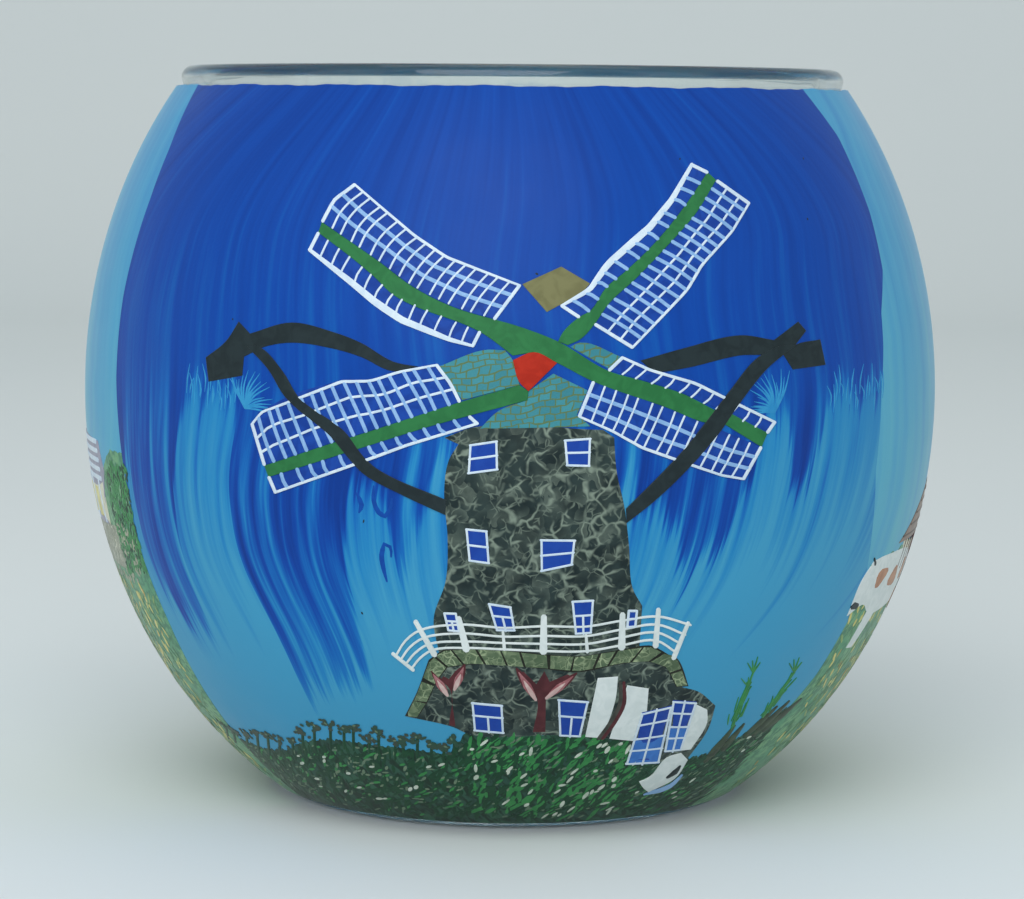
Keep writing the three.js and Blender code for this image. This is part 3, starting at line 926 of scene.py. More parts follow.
@dataclass(frozen=True)
class Clay(Finish):
    """Baked clay of one shade: satin, faintly mottled, with fine sanding marks."""

    shade: str = "#808080"
    second: str = "#707070"
    roughness: float = 0.4

    def dress(self, recipe: Recipe) -> None:
        """Fills in the shader."""
        at = recipe.place()
        recipe.set(Base_Color=self.paint(recipe, at))
        haze = recipe.noise(at, 0.16, 3.0)
        recipe.set(Roughness=haze * 0.16 + (self.roughness - 0.08), Specular_IOR_Level=0.12)
        recipe.set(Sheen_Weight=0.16, Sheen_Roughness=0.35)
        swell = recipe.noise(at, 0.12, 1.0)
        grit = recipe.noise(at, 2.6, 3.0)
        recipe.bump(swell * 0.8 + grit * 0.05, 0.22)

    def paint(self, recipe: Recipe, at: Wire) -> Wire:
        """Gives the colour at a place: two shades kneaded together."""
        blotch = recipe.noise(at, 0.5, 4.0, 1.2).between(0.35, 0.65)
        return recipe.mix(blotch, self.shade, self.second)


@dataclass(frozen=True)
class DeepSky(Clay):
    """The front sky: royal blue above, light blue strands breaking up from below."""

    def paint(self, recipe: Recipe, at: Wire) -> Wire:
        """Gives the colour at a place."""
        x, y, z = recipe.parts(at)
        azimuth = x.angle(-1 * y)
        rise, fall = (z - 72).larger(0.0), (34 - z).larger(0.0)
        sway = recipe.noise(recipe.vector(x * 0.35, y * 0.35, z), 0.05, 0.0) - 0.5
        sweep = (50 - z).larger(0.0)
        flow = azimuth * (rise * rise * 0.0011 + fall * fall * 0.00025 + 1) + sway * 7
        flow = flow + azimuth.larger(0.0) * sweep * sweep * 0.0005
        fine, broad, hair = (
            recipe.noise(recipe.vector(flow * pitch, 0.0, z * pull), 1.0, 3.0)
            for pitch, pull in ((0.62, 0.026), (0.24, 0.014), (1.9, 0.085))
        )
        tops = [(-63, 0.47), (-57.5, 0.47), (-55.5, 0.3), (-48, 0.27), (-45.5, 0.5), (-44, 0.56)]
        tops += [(-35.6, 0.56), (-35, 0.2), (-22, 0.23), (-18.7, 0.47), (-14.6, 0.47), (-13, 0.34)]
        tops += [(-8, 0.52), (13, 0.47), (20, 0.43)]
        tops += [(25, 0.36), (29, 0.4), (31.5, 0.5), (33, 0.56), (36, 0.55), (38.3, 0.46), (41.5, 0.46)]
        tops += [(43, 0.56), (60, 0.575)]
        stops = [((angle + 70) / 140, height) for angle, height in tops]
        dawn = recipe.ramp(flow / 140 + 0.5, *stops) * 100
        finger = (hair - 0.5) * 10 + (fine - 0.5) * 12
        lit = 1 - z.between(dawn + finger - 4.0, dawn + finger + 1.0)
        low = 1 - z.between(15.0, 46.0)
        crown = z.between(60.0, 92.0)
        east = azimuth.between(12.0, 24.0) * (1 - z.between(30.0, 62.0)) * 0.2
        weave = (fine - 0.5) * 1.9 + (broad - 0.5) * 1.3 + (hair - 0.5) * 0.55
        contrast = 0.12 + z.between(15.0, 27.0) * 0.83 - z.between(46.0, 60.0) * 0.7 - lit * 0.38
        tone = 0.26 - crown * 0.1 + lit * 0.38 + low * 0.46 + east + weave * contrast
        return recipe.ramp(
            tone.clipped(),
            (0.0, "#083789"),
            (0.25, "#09449d"),
            (0.5, "#1264b0"),
            (0.7, "#2582b9"),
            (1.0, "#4096bd"),
        )


@dataclass(frozen=True)
class PaleSky(Clay):
    """The sky of the sides and the back: light blue, turquoise towards the land, with its shades lightened
    further as painted sheen.
    """

    def paint(self, recipe: Recipe, at: Wire) -> Wire:
        """Gives the colour at a place: blues drawn out into long upright streaks."""
        x, y, z = recipe.parts(at)
        radius = (x * x + y * y).root().larger(1.0)
        sway = recipe.noise(recipe.vector(x * 0.3, y * 0.3, z), 0.055, 2.0) - 0.5
        turn = sway * 0.16
        across, deep = x / radius + turn * y / radius, y / radius - turn * x / radius
        fine, broad = (
            recipe.noise(recipe.vector(across * fineness, deep * fineness, z * pull), 1.0, 3.0)
            for fineness, pull in ((30.0, 0.02), (9.0, 0.01))
        )
        tone = z.between(88.0, 32.0) * 0.5 + (fine - 0.5) * 0.9 + (broad - 0.5) * 0.9 + 0.25
        # The ramp's shades are the clay's own light blue, lightened further to paint the pale sheen seen near
        # the globe's outline.
        return recipe.ramp(tone.clipped(), (0.0, "#3a8abd"), (0.5, "#4d9fc4"), (1.0, "#60b0c2"))


@dataclass(frozen=True)
class Stonework(Clay):
    """Dark grey clay crumpled into pale creases, with soft facets between them."""

    vein: str = "#a3b097"
    scale: float = 1.0

    def paint(self, recipe: Recipe, at: Wire) -> Wire:
        """Gives the colour at a place."""
        sway = recipe.node("ShaderNodeTexNoise", {}, {"Vector": at, "Scale": 0.5, "Detail": 1.0}, output=1)
        push = recipe.node("ShaderNodeVectorMath", {"operation": "SCALE"}, {0: sway, "Scale": 2.2})
        bent = recipe.node("ShaderNodeVectorMath", {"operation": "ADD"}, {0: at, 1: push})
        light = self._facets(recipe, bent, 2.4) * 0.3
        for size, strength, width, patch in ((2.5, 0.95, 0.11, 0.5), (1.4, 0.6, 0.1, 0.8)):
            crease = 1 - self._cells(recipe, bent, size, "DISTANCE_TO_EDGE").between(0.0, width)
            shown = recipe.noise(at, patch, 1.0).between(0.4, 0.62)
            light = light.larger(crease * shown * strength)
        uneven = recipe.noise(at, 2.2, 2.0) * 0.8 + 0.5
        ground = recipe.mix(recipe.noise(at, 0.45, 3.0).between(0.3, 0.7), self.shade, self.second)
        return recipe.mix((light * uneven).clipped(), ground, self.vein)

    def _cells(self, recipe: Recipe, at: Wire, size: float, feature: str) -> Wire:
        """Gives a Voronoi texture whose cells are about a size in millimetres."""
        sockets = {"Vector": at, "Scale": self.scale / size, "Randomness": 1.0}
        return recipe.node("ShaderNodeTexVoronoi", {"feature": feature}, sockets, output=int(feature == "F1"))

    def _facets(self, recipe: Recipe, at: Wire, size: float) -> Wire:
        """Gives facets that each slope their own way."""
        cell = self._cells(recipe, at, size, "F1")
        middle = Wire(recipe, cell.socket.node.outputs["Position"])
        away = recipe.node("ShaderNodeVectorMath", {"operation": "SUBTRACT"}, {0: at, 1: middle})
        aim = recipe.node("ShaderNodeVectorMath", {"operation": "SUBTRACT"}, {0: cell, 1: (0.5, 0.5, 0.5)})
        slope = recipe.node("ShaderNodeVectorMath", {"operation": "DOT_PRODUCT"}, {0: away, 1: aim}, output=1)
        return (slope * (2.3 * self.scale / size) + 0.4).clipped() ** 2.0


@dataclass(frozen=True)
class Tiles(Clay):
    """Turquoise cap tiles with olive joints, laid in courses."""

    joint: str = "#5a7350"

    def paint(self, recipe: Recipe, at: Wire) -> Wire:
        """Gives the colour at a place."""
        x, _, z = recipe.parts(at)
        sway = recipe.noise(at, 0.5, 1.0)
        flat = recipe.vector(x + sway * 0.9, z + sway * 1.2 - x * 0.16, 0.0)
        sockets = {"Vector": flat, "Scale": 1.0, "Brick Width": 1.25, "Row Height": 0.8}
        sockets |= {"Mortar Size": 0.1, "Mortar Smooth": 0.4, "Bias": 0.0, "Mortar": linear(self.joint)}
        sockets |= {"Color1": linear(self.shade), "Color2": linear(self.second)}
        return recipe.node("ShaderNodeTexBrick", {"offset": 0.5}, sockets)


@dataclass(frozen=True)
class Grass(Clay):
    """Fine strokes of several greens, leaning with the hillside."""

    third: str = "#203a2c"
    lean: float = 0.6

    def paint(self, recipe: Recipe, at: Wire) -> Wire:
        """Gives the colour at a place."""
        x, y, z = recipe.parts(at)
        combed = recipe.vector(x + z * self.lean, y + z * self.lean, z * 0.45)
        stroke = recipe.noise(combed, 1.5, 3.0, 0.5)
        blotch = recipe.noise(at, 0.22, 2.0)
        ground = recipe.mix(blotch.between(0.38, 0.62), self.shade, self.second)
        return recipe.mix(stroke.between(0.42, 0.62), ground, self.third)


@dataclass(frozen=True)
class Foil(Finish):
    """Bright rolled aluminium with faint drawing lines."""

    def dress(self, recipe: Recipe) -> None:
        """Fills in the shader."""
        at = recipe.place()
        x, y, z = recipe.parts(at)
        lines = recipe.noise(recipe.vector(x * 0.3, y * 0.3, z * 6.0), 1.0, 2.0)
        recipe.set(Base_Color=recipe.mix(lines, "#cfd2d4", "#b9bdc0"), Metallic=1.0)
        recipe.set(Roughness=lines * 0.18 + 0.2)
        recipe.bump(lines * 0.4 + recipe.noise(at, 0.7, 2.0), 0.05)


@dataclass(frozen=True)
class Wax(Finish):
    """Soft white paraffin wax."""

    def dress(self, recipe: Recipe) -> None:
        """Fills in the shader."""
        at = recipe.place()
        cloud = recipe.noise(at, 0.25, 3.0)
        recipe.set(Base_Color=recipe.mix(cloud, "#f1ece0", "#e2dccb"), Roughness=cloud * 0.2 + 0.32)
        recipe.set(Subsurface_Weight=0.35, Subsurface_Radius=(0.004, 0.003, 0.002), Subsurface_Scale=1.0)
        recipe.bump(cloud + recipe.noise(at, 2.0, 2.0) * 0.1, 0.25)


@dataclass(frozen=True)
class Cotton(Finish):
    """Waxed cotton thread."""

    def dress(self, recipe: Recipe) -> None:
        """Fills in the shader."""
        at = recipe.place()
        x, y, z = recipe.parts(at)
        fibre = recipe.noise(recipe.vector(x * 4.0, y * 4.0, z * 1.2), 2.0, 3.0)
        recipe.set(Base_Color=recipe.mix(fibre, "#efe9d8", "#cbc2a6"), Roughness=fibre * 0.2 + 0.6)
        recipe.bump(fibre, 0.12)


@dataclass(frozen=True)
class ClearGlass(Finish):
    """Clear soda glass with a fire-polished face."""

    def dress(self, recipe: Recipe) -> None:
        """Fills in the shader."""
        wave = recipe.noise(recipe.place(), 0.08, 1.0)
        recipe.set(Base_Color=recipe.mix(wave, "#f4fbf9", "#eef7f5"), Transmission_Weight=1.0, IOR=1.5)
        recipe.set(Roughness=0.02, Alpha=0.78)
        recipe.bump(wave, 0.3)


@dataclass(frozen=True)
class Backdrop(Finish):
    """Matt pale paper."""

    def dress(self, recipe: Recipe) -> None:
        """Fills in the shader."""
        cloud = recipe.noise(recipe.place(), 0.004, 1.0)
        recipe.set(Base_Color=recipe.mix(cloud, "#e2e5e4", "#dee2e2"), Roughness=0.9, Specular_IOR_Level=0.15)


DEEP_SKY = DeepSky("deep sky clay", roughness=0.42)
PALE_SKY = PaleSky("pale sky clay", roughness=0.42)
STONE = Stonework("crumpled stone clay", "#1c2829", "#2d3b3a", vein="#828f81")
MOSS = Stonework("mossy coping clay", "#4b5d46", "#586b51", vein="#a3b18c", scale=2.0)
SCREE = Stonework("stony bank clay", "#7c806c", "#8f9280", vein="#d0d0bb", scale=1.6)
JOINT = Clay("dark joint clay", "#2a2c24", "#1f211c")
LATTICE_GROUND = Clay("lattice blue clay", "#1a469e", "#153b8d")
STRAND_WHITE = Clay("white strand clay", "#d3dfe8", "#c3d3e2")
STRAND_BLUE = Clay("bluish strand clay", "#8fb3dc", "#7ea5d2")
LEAF_GREEN = Clay("leaf green clay", "#2f7443", "#296a3d")
TIMBER = Clay("timber clay", "#273235", "#212b2e")
RED = Clay("red clay", "#b12c1a", "#a42616")
TAN = Clay("tan clay", "#787650", "#6d6b47")
CAP_TILES = Tiles("turquoise tile clay", "#438a94", "#397c88")
PANE = Clay("pane blue clay", "#1b4098", "#1f479f")
PANE_LIGHT = Clay("light pane clay", "#3f78c4", "#376fbb")
WHITE = Clay("white clay", "#dce2e0", "#d0d8d6")
BARK = Clay("bark clay", "#5a2f33", "#4b272b")
DUSK = Clay("dusk clay", "#4a4a44", "#3c3d38")
BLOSSOM = Clay("blossom clay", "#d2bcb4", "#bfa09c")
BLOSSOM_DUSK = Clay("dusky blossom clay", "#a87476", "#8c5358")
GRASS = Grass("grass clay", "#2c4f43", "#35604a", third="#1d3529")
MEADOW = Grass("meadow clay", "#579670", "#78a87a", third="#457c60", lean=-0.3)
BLADE_DARK = Clay("dark blade clay", "#1e4a30", "#1a3f2c")
BLADE_FRESH = Clay("fresh blade clay", "#3c8a4c", "#327a44")
BLADE_SAGE = Clay("sage blade clay", "#71856b", "#5c7561")
PETAL_WHITE = Clay("white petal clay", "#cfd6c8", "#b3bfae")
PETAL_YELLOW = Clay("yellow petal clay", "#d9d184", "#c7be6c")
PETAL_ORANGE = Clay("ochre petal clay", "#c4a85e", "#b08f4c")
PEBBLE = Clay("pebble clay", "#a5a58e", "#8d9480")
LILAC = Clay("lilac roof clay", "#9a98a8", "#85869a")
CREAM = Clay("cream wall clay", "#d9d6bf", "#cbc8ae")
ROOF_BROWN = Clay("barn roof clay", "#8a7161", "#776152")
COW_BROWN = Clay("cow patch clay", "#b98563", "#a67353")


# --- Pieces -----------------------------------------------------------------------------------


class Bench:
    """Hands finished pieces over to the frame."""

    def __init__(self, frame: dict) -> None:
        """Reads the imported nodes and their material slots."""
        self.nodes = frame["nodes"]
        self.slots = {part["node"]: part["material_slot"] for part in frame["record"]["subparts"]}

    def deliver(self, piece: bpy.types.Object, like: str, *stands_for: str, body: str = "holder") -> None:
        """Makes a piece ride on its body.

        Args:
            piece: The finished piece.
            like: Not used.
            stands_for: Nodes that it replaces.
            body: Body that it rides on.
        """
        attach(piece, body)
        if stands_for:
            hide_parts(*stands_for)
        log.info("%s: %d faces on %s", piece.name, len(piece.data.polygons), body)

    def lay(self, relief: Relief, name: str, finish: Finish, like: str, *stands_for: str) -> None:
        """Makes one object of a relief and delivers it to the holder."""
        self.deliver(relief.made(name, finish), like, *stands_for)


@dataclass
class GlassBowl:
    """The clear bowl: hollow foot, thick wall behind the clay, and a rounded rim."""

    globe: Globe
    bench: Bench
    steps: int = 44
    floor_fillet: float = 5.0
    hollow_slope: float = 2.0

    def build(self) -> None:
        """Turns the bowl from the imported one's own sizes."""
        points = vertices(self.bench.nodes["glass_bowl"])
        radius, height = np.hypot(points[:, 0], points[:, 1]), points[:, 2]
        globe = self.globe
        at_belly = radius[np.abs(height - globe.belly_height) < 1.5]
        face = globe.belly_radius - at_belly.max()
        wall = at_belly.max() - at_belly[at_belly > globe.belly_radius * 0.6].min()
        rim_radius = radius[height > globe.top].max()
        bead = wall / 2
        standing = radius[height < 0.01]
        middle = height[radius < 0.01]
        floor, hollow = middle.max(), middle.min()
        profile = [(0.0, hollow), (standing.min() - self.hollow_slope, hollow), (standing.min(), 0.0)]
        profile += [(standing.max(), 0.0), (standing.max() + 1.0, 0.4)]
        profile += self._wall(globe.bottom + 0.6, globe.top, -face)
        rim = height.max() - bead
        for k in range(13):
            angle = math.pi * k / 12
            profile.append((rim_radius - bead + bead * math.cos(angle), rim + bead * math.sin(angle)))
        fillet = self.floor_fillet
        profile += self._wall(floor + fillet, globe.top, -face - wall)[::-1]
        edge = profile[-1][0]
        for k in range(1, 9):
            angle = math.pi / 2 * k / 8
            profile.append((edge - fillet * (1 - math.cos(angle)), floor + fillet - fillet * math.sin(angle)))
        profile.append((0.0, floor))
        bowl = turned("clear_glass_bowl", profile, ClearGlass("clear glass"), 192)
        self.bench.deliver(bowl, "glass_bowl", "glass_bowl")

    def _wall(self, low: float, high: float, proud: float) -> list[Point]:
        """Gives the profile of a wall that follows the globe."""
        heights = np.linspace(low, high, self.steps)
        places = self.globe.place(np.zeros(self.steps), heights, proud)
        return [(float(-y), float(z)) for _, y, z in places]


@dataclass
class TeaLight:
    """Foil cup with a rolled lip and fluted wall, wax with a melt hollow, and a twisted wick."""

    bench: Bench
    flutes: int = 72
    flute_depth: float = 0.09
    lip: float = 0.5
    foil: float = 0.4

    def build(self) -> None:
        """Builds the four pieces on the lifting body."""
        self._cup()
        self._wax()
        self._sustainer()
        self._wick()

    def _sizes(self, node: str) -> tuple[float, float, float]:
        """Gives a turned node's radius, bottom and top."""
        low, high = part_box(node)
        return high.x / MM, low.z / MM, high.z / MM

    def _cup(self) -> None:
        """Builds the foil cup."""
        radius, low, top = self._sizes("candle_cup")
        wall = radius - self.lip
        foil = self.foil
        profile = [(0.0, low), (wall - 1.6, low), (wall - 0.9, low + 0.15), (wall - 0.25, low + 0.7)]
        profile += [(wall, low + 1.5)]
        profile += [(wall, low + 3 + k * (top - low - 5) / 9) for k in range(10)]
        for k in range(9):
            angle = math.radians(-120 + 230 * k / 8)
            profile.append((radius - 0.45 + 0.45 * math.cos(angle), top - 0.45 + 0.45 * math.sin(angle)))
        profile += [(wall - foil, top - 0.8), (wall - foil, low + 1.6), (wall - foil - 0.4, low + foil + 0.3)]
        profile += [(wall - foil - 1.2, low + foil), (0.0, low + foil)]
        cup = turned("foil_cup", profile, Foil("rolled foil"), 288)
        for vertex in cup.data.vertices:
            x, y, z = vertex.co / MM
            reach = math.hypot(x, y)
            share = max(0.0, min(1.0, (z - low - 1.5) / 1.5, (top - 1.6 - z) / 1.0))
            if reach > wall - foil - 0.1 and share > 0:
                wave = math.cos(self.flutes * math.atan2(y, x)) * self.flute_depth * share
                vertex.co.x += x / reach * wave * MM
                vertex.co.y += y / reach * wave * MM
        self.bench.deliver(cup, "candle_cup", "candle_cup", body="tealight")

    def _wax(self) -> None:
        """Builds the wax with a shallow hollow round the wick."""
        radius, low, top = self._sizes("candle_wax")
        core = 1.0
        profile = [(core, low + 0.7), (6.1, low + 0.7), (6.1, low), (radius - 1, low), (radius, low + 1.1)]
        profile += [(radius, top - 0.1), (radius - 0.25, top), (radius - 0.8, top - 0.25)]
        for k in range(1, 13):
            share = k / 12
            dip = 0.25 + 0.5 * math.sin(math.pi / 2 * share)
            profile.append((radius - 0.8 - (radius - 0.8 - core - 0.4) * share, top - dip))
        profile += [(core + 0.1, top - 0.6), (core, top - 0.7)]
        wax = turned("wax_fill", profile, Wax("paraffin wax"), 128)
        self.bench.deliver(wax, "candle_wax", "candle_wax", body="tealight")

    def _sustainer(self) -> None:
        """Builds the tin disc that holds the wick."""
        radius, low, top = self._sizes("wick_sustainer")
        edge = (top - low) / 3
        profile = [(0.0, low), (radius - edge, low), (radius, low + edge), (radius, top - edge)]
        profile += [(radius - edge, top), (radius * 0.5, top), (radius * 0.45, top - edge), (0.0, top - edge)]
        disc = turned("wick_disc", profile, Foil("rolled foil"), 96)
        self.bench.deliver(disc, "wick_sustainer", "wick_sustainer", body="tealight")

    def _wick(self) -> None:
        """Builds the wick of three twisted strands."""
        radius, low, top = self._sizes("candle_wick")
        sides, rings = 36, 70
        points, faces = [], []
        for j in range(rings + 1):
            share = j / rings
            height = low + (top - low) * share
            close = 1.0 if share < 0.94 else 1.0 - 0.45 * (share - 0.94) / 0.06
            for k in range(sides):
                angle = 2 * math.pi * k / sides
                reach = radius * (0.82 + 0.18 * abs(math.cos(1.5 * (angle + height * 1.1)))) * close
                points.append((reach * math.cos(angle), reach * math.sin(angle), height))
        for j in range(rings):
            for k in range(sides):
                a, b = j * sides + k, j * sides + (k + 1) % sides
                faces.append([a, b, b + sides, a + sides])
        faces.append(list(range(sides))[::-1])
        faces.append([rings * sides + k for k in range(sides)])
        wick = shaped("plaited_wick", np.array(points), faces, Cotton("waxed cotton"), 50.0)
        self.bench.deliver(wick, "candle_wick", "candle_wick", body="tealight")


@dataclass
class Seams:
    """The two upright joins between the front picture and the side picture."""

    left: tuple[Point, ...] = (
        (1, -57.5), (18, -57.5), (25, -57.6), (33, -58.9), (45, -59.8), (55, -61.1), (65, -61.6), (77, -60.9),
        (83, -61.3), (91, -64.0),
    )
    right: tuple[Point, ...] = (
        (1, 48), (14, 51.4), (19, 54.8), (26, 56.9), (31, 57.6), (37, 55.8), (45, 54.0), (54, 54.5),
        (60, 55.6), (64, 56.0), (69, 58.5), (76, 59.1), (85, 58.3), (91, 54.6),
    )

    def at(self, side: tuple[Point, ...], height: np.ndarray) -> np.ndarray:
        """Gives a seam's angle at a height, in radians."""
        rows = np.array(side)
        return np.radians(np.interp(height, rows[:, 0], rows[:, 1]))

    def front(self) -> tuple[Callable, Callable]:
        """Gives the side edges of the front sheets."""
        return lambda h: self.at(self.left, h), lambda h: self.at(self.right, h)

    def back(self) -> tuple[Callable, Callable]:
        """Gives the side edges of the back sheets."""
        return lambda h: self.at(self.right, h), lambda h: self.at(self.left, h) + 2 * math.pi


@dataclass
class Land:
    """Sky and meadow sheets all round, with what grows on them."""

    globe: Globe
    bench: Bench
    stencils: Stencils
    seams: Seams
    seed: int = 7
    front: Point = (-57, 51)
    around: Point = (57, 300)
    hills: Point = (100, 236)
    bush: Point = (293, 301)
    horizon: float = 30.0

    def __post_init__(self) -> None:
        """Reads where the grass ends, and starts the land's own chance."""
        self.front_crest = self.stencils.crest("meadow_front", -57, 54)
        self.back_crest = self.stencils.crest("meadow_back", 58, 298)
        self.chance = np.random.default_rng(self.seed)

    def build(self) -> None:
        """Builds sheets and plants."""
        self._sheets()
        self._front_grass()
        self._fronds()
        self._hedge()
        self._reeds()
        self._back_meadow()
        self._far_bushes()

    def _ragged(self, height: float, reach: float) -> Callable[[np.ndarray], np.ndarray]:
        """Gives a level that wavers a little round the globe."""
        waves = ((0.3, 17, 0), (0.2, 41, 1), (0.12, 97, 0))
        sway = lambda a: sum(size * np.sin(rate * a + turn) for size, rate, turn in waves)
        return lambda a: height - reach * (0.5 + sway(a))

    def _crest(self, rows: tuple[np.ndarray, np.ndarray], reach: float) -> Callable[[np.ndarray], np.ndarray]:
        """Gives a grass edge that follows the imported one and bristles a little."""

        def level(angle: np.ndarray) -> np.ndarray:
            bristle = np.abs(np.sin(97 * angle)) * 0.6 + np.abs(np.sin(211 * angle + 2)) * 0.4
            return np.interp(angle, rows[0], rows[1]) + reach * bristle

        return level

    def _hills(self) -> Callable[[np.ndarray], np.ndarray]:
        """Gives the edge of the back meadow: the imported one, with rolling hills where no building stands."""
        level = self._crest(self.back_crest, 0.35)
        (first, last), ease = np.radians(self.hills), 0.3

        def edge(angle: np.ndarray) -> np.ndarray:
            roll = 1.1 + np.sin(5.3 * angle) * 0.7 + np.sin(8.9 * angle + 1) * 0.4
            shown = np.clip((angle - first) / ease, 0, 1) * np.clip((last - angle) / ease, 0, 1)
            return level(angle) + roll * shown

        return edge

    def _far_bushes(self) -> None:
        """Plants clumps of leaves along the horizon of the back."""
        dark, light = [], []
        for middle in np.radians(np.arange(112, 234, 11.0)):
            size = float(self.chance.uniform(0.8, 2.2))
            drift = self.chance.normal(0, 1, (int(60 * size), 2)) * (size / 62, size * 0.5)
            clump = drift + (middle + float(self.chance.uniform(-0.05, 0.05)), 31.6 + size * 0.8)
            dark.append(clump)
            light.append(clump[::3] + (0.0, 0.3))
        plans = (
            ("far_bushes", BLADE_DARK, dark, (0.7, 1.5), (0.5, 0.9), Level.STONE),
            ("far_leaves", BLADE_FRESH, light, (0.6, 1.2), (0.3, 0.6), Level.INLAY),
        )
        for name, finish, clumps, length, width, level in plans:
            spots = np.concatenate(clumps)
            self._scatter(name, finish, "meadow_back", spots, length, width, (-60, 60), level)

    def _sheets(self) -> None:
        """Builds the four sheets."""
        globe, front, back = self.globe, self.seams.front(), self.seams.back()
        bottom = lambda a: np.full_like(a, globe.bottom)
        rim, grass = self._ragged(globe.top, 0.22), self._crest(self.front_crest, 0.5)
        plans = (
            ("sky_front", DEEP_SKY, front, rim, (220, 160), Level.SKY, globe.thickness),
            ("sky_back", PALE_SKY, back, rim, (420, 160), Level.SKY, globe.thickness),
            ("meadow_front", GRASS, front, grass, (700, 26), Level.FIELD, 0.4),
            ("meadow_back", MEADOW, back, self._hills(), (900, 40), Level.FIELD, 0.4),
        )
        for name, finish, edges, top, size, level, sunk in plans:
            relief = Relief(globe)
            relief.sheet(edges, (bottom, top), size, level, sunk)
            self.bench.lay(relief, f"clay_{name}", finish, name, name)

    def _scatter(
        self,
        name: str,
        finish: Finish,
        like: str,
        spots: np.ndarray,
        length: Point,
        width: Point,
        lean: Point,
        level: Level,
    ) -> None:
        """Strews lens-shaped chips over places.

        Args:
            name: Name of the piece.
            finish: What the chips are made of.
            like: Node handed to the bench with them.
            spots: Rows of azimuth in radians and height.
            length: Shortest and longest length.
            width: Narrowest and widest width.
            lean: Range of their lean from upright, degrees.
            level: Layer that they lie on.
        """
        draw = lambda span: self.chance.uniform(*span, len(spots))
        relief = Relief(self.globe)
        relief.petals(spots[:, 0], spots[:, 1], draw(length), draw(width), np.radians(draw(lean)), level)
        self.bench.lay(relief, name, finish, like)

    def _spots(
        self, count: int, angles: Point, crest: tuple[np.ndarray, np.ndarray], share: Point = (0, 0.97)
    ) -> np.ndarray:
        """Draws places between the foot and the crest, evenly over the face."""
        angle = np.radians(self.chance.uniform(*angles, count))
        top = np.interp(angle, *crest)
        low = self.globe.bottom + 0.8
        return np.stack([angle, low + (top - low) * self.chance.uniform(*share, count) ** 0.8], -1)

    def _front_grass(self) -> None:
        """Strews blades and white petals over the front meadow."""
        ends = self.globe.azimuth(np.array([-4.5, 15.5]), np.array([8.0, 8.0]), Facing.FRONT)
        mound = tuple(np.degrees(ends))
        plans = (
            ("dark_blades", BLADE_DARK, 900, self.front, (1.2, 2.8), (0.3, 0.6), (5, 60)),
            ("fresh_blades", BLADE_FRESH, 170, mound, (1.6, 3.6), (0.35, 0.8), (-5, 45)),
            ("mound_shades", BLADE_DARK, 130, mound, (1.6, 3.2), (0.3, 0.7), (-5, 45)),
            ("fresh_tufts", BLADE_FRESH, 200, self.front, (0.7, 1.8), (0.3, 0.5), (20, 70)),
            ("sage_blades", BLADE_SAGE, 330, self.front, (0.6, 1.5), (0.25, 0.5), (10, 90)),
            ("white_petals", PETAL_WHITE, 34, (-42, 48), (0.6, 1.4), (0.35, 0.6), (20, 80)),
            ("mound_petals", PETAL_WHITE, 30, mound, (0.9, 1.9), (0.35, 0.65), (0, 40)),
        )
        for name, finish, count, angles, length, width, lean in plans:
            level = Level.INLAY if finish is PETAL_WHITE else Level.STONE
            spots = self._spots(count, angles, self.front_crest)
            self._scatter(name, finish, "meadow_front", spots, length, width, lean, level)

    def _fronds(self) -> None:
        """Lays feathered light strokes over the sky's light bands, two dark hooks and a few dark specks."""
        light, dark = Relief(self.globe), Relief(self.globe)
        draw, level = self.chance.uniform, Level.SKY + 0.005
        for side in (-1, 1):
            root = np.array([side * 30.8, 53.0])
            for turn in np.linspace(-22, 92, 17):
                lean = math.radians(float(turn + draw(-4, 4)))
                reach = float(draw(3.6, 5.4)) * (1 - 0.35 * max(turn, 0) / 92)
                tip = root + np.array([-side * math.sin(lean), math.cos(lean)]) * reach
                middle = (root + tip) / 2 + np.array([side * 0.35, 0.3])
                light.strand([root + (0, 0.2), middle, tip], (0.12, 0.24, 0.05), level)
        for start, end in ((-43.9, -35.6), (43.4, 55.0)):
            for angle in np.linspace(start, end, 20):
                angle = float(angle + draw(-0.2, 0.2))
                low, tall = float(draw(52.5, 55.0)), float(draw(1.6, 3.6))
                across = float(self.globe.radius(np.array(low))) * math.sin(math.radians(angle))
                tip = (across + draw(-0.5, 0.5), low + tall)
                light.strand([(across, low), (across + 0.1, low + tall / 2), tip], (0.06, 0.2, 0.05), level)
        hooks = (
            ((-15.5, 45.1), (-15.5, 43.4), (-14.9, 42.0), (-14.2, 41.6), (-13.6, 42.4), (-13.4, 43.7)),
            ((-14.0, 33.8), (-14.4, 35.4), (-14.6, 37.0), (-14.3, 38.3), (-13.6, 38.0), (-13.5, 36.8)),
            ((-17.5, 44.2), (-16.9, 42.8), (-17.2, 41.9)),
        )
        for hook in hooks:
            dark.strand(hook, (0.2, 0.5, 0.6, 0.5, 0.2), level)
        self.bench.lay(light, "sky_fronds", Clay("frond blue clay", "#2a84ba", "#348fc0"), "sky_front")
        self.bench.lay(dark, "sky_hooks", Clay("hook blue clay", "#0f4a9f", "#0d4294"), "sky_front")
        spots = np.stack([np.radians(draw(-50, 52, 12)), draw(22, 84, 12)], -1)
        length, width = (0.25, 0.6), (0.15, 0.28)
        self._scatter("sky_specks", TIMBER, "sky_front", spots, length, width, (-60, 60), Level.SKY)

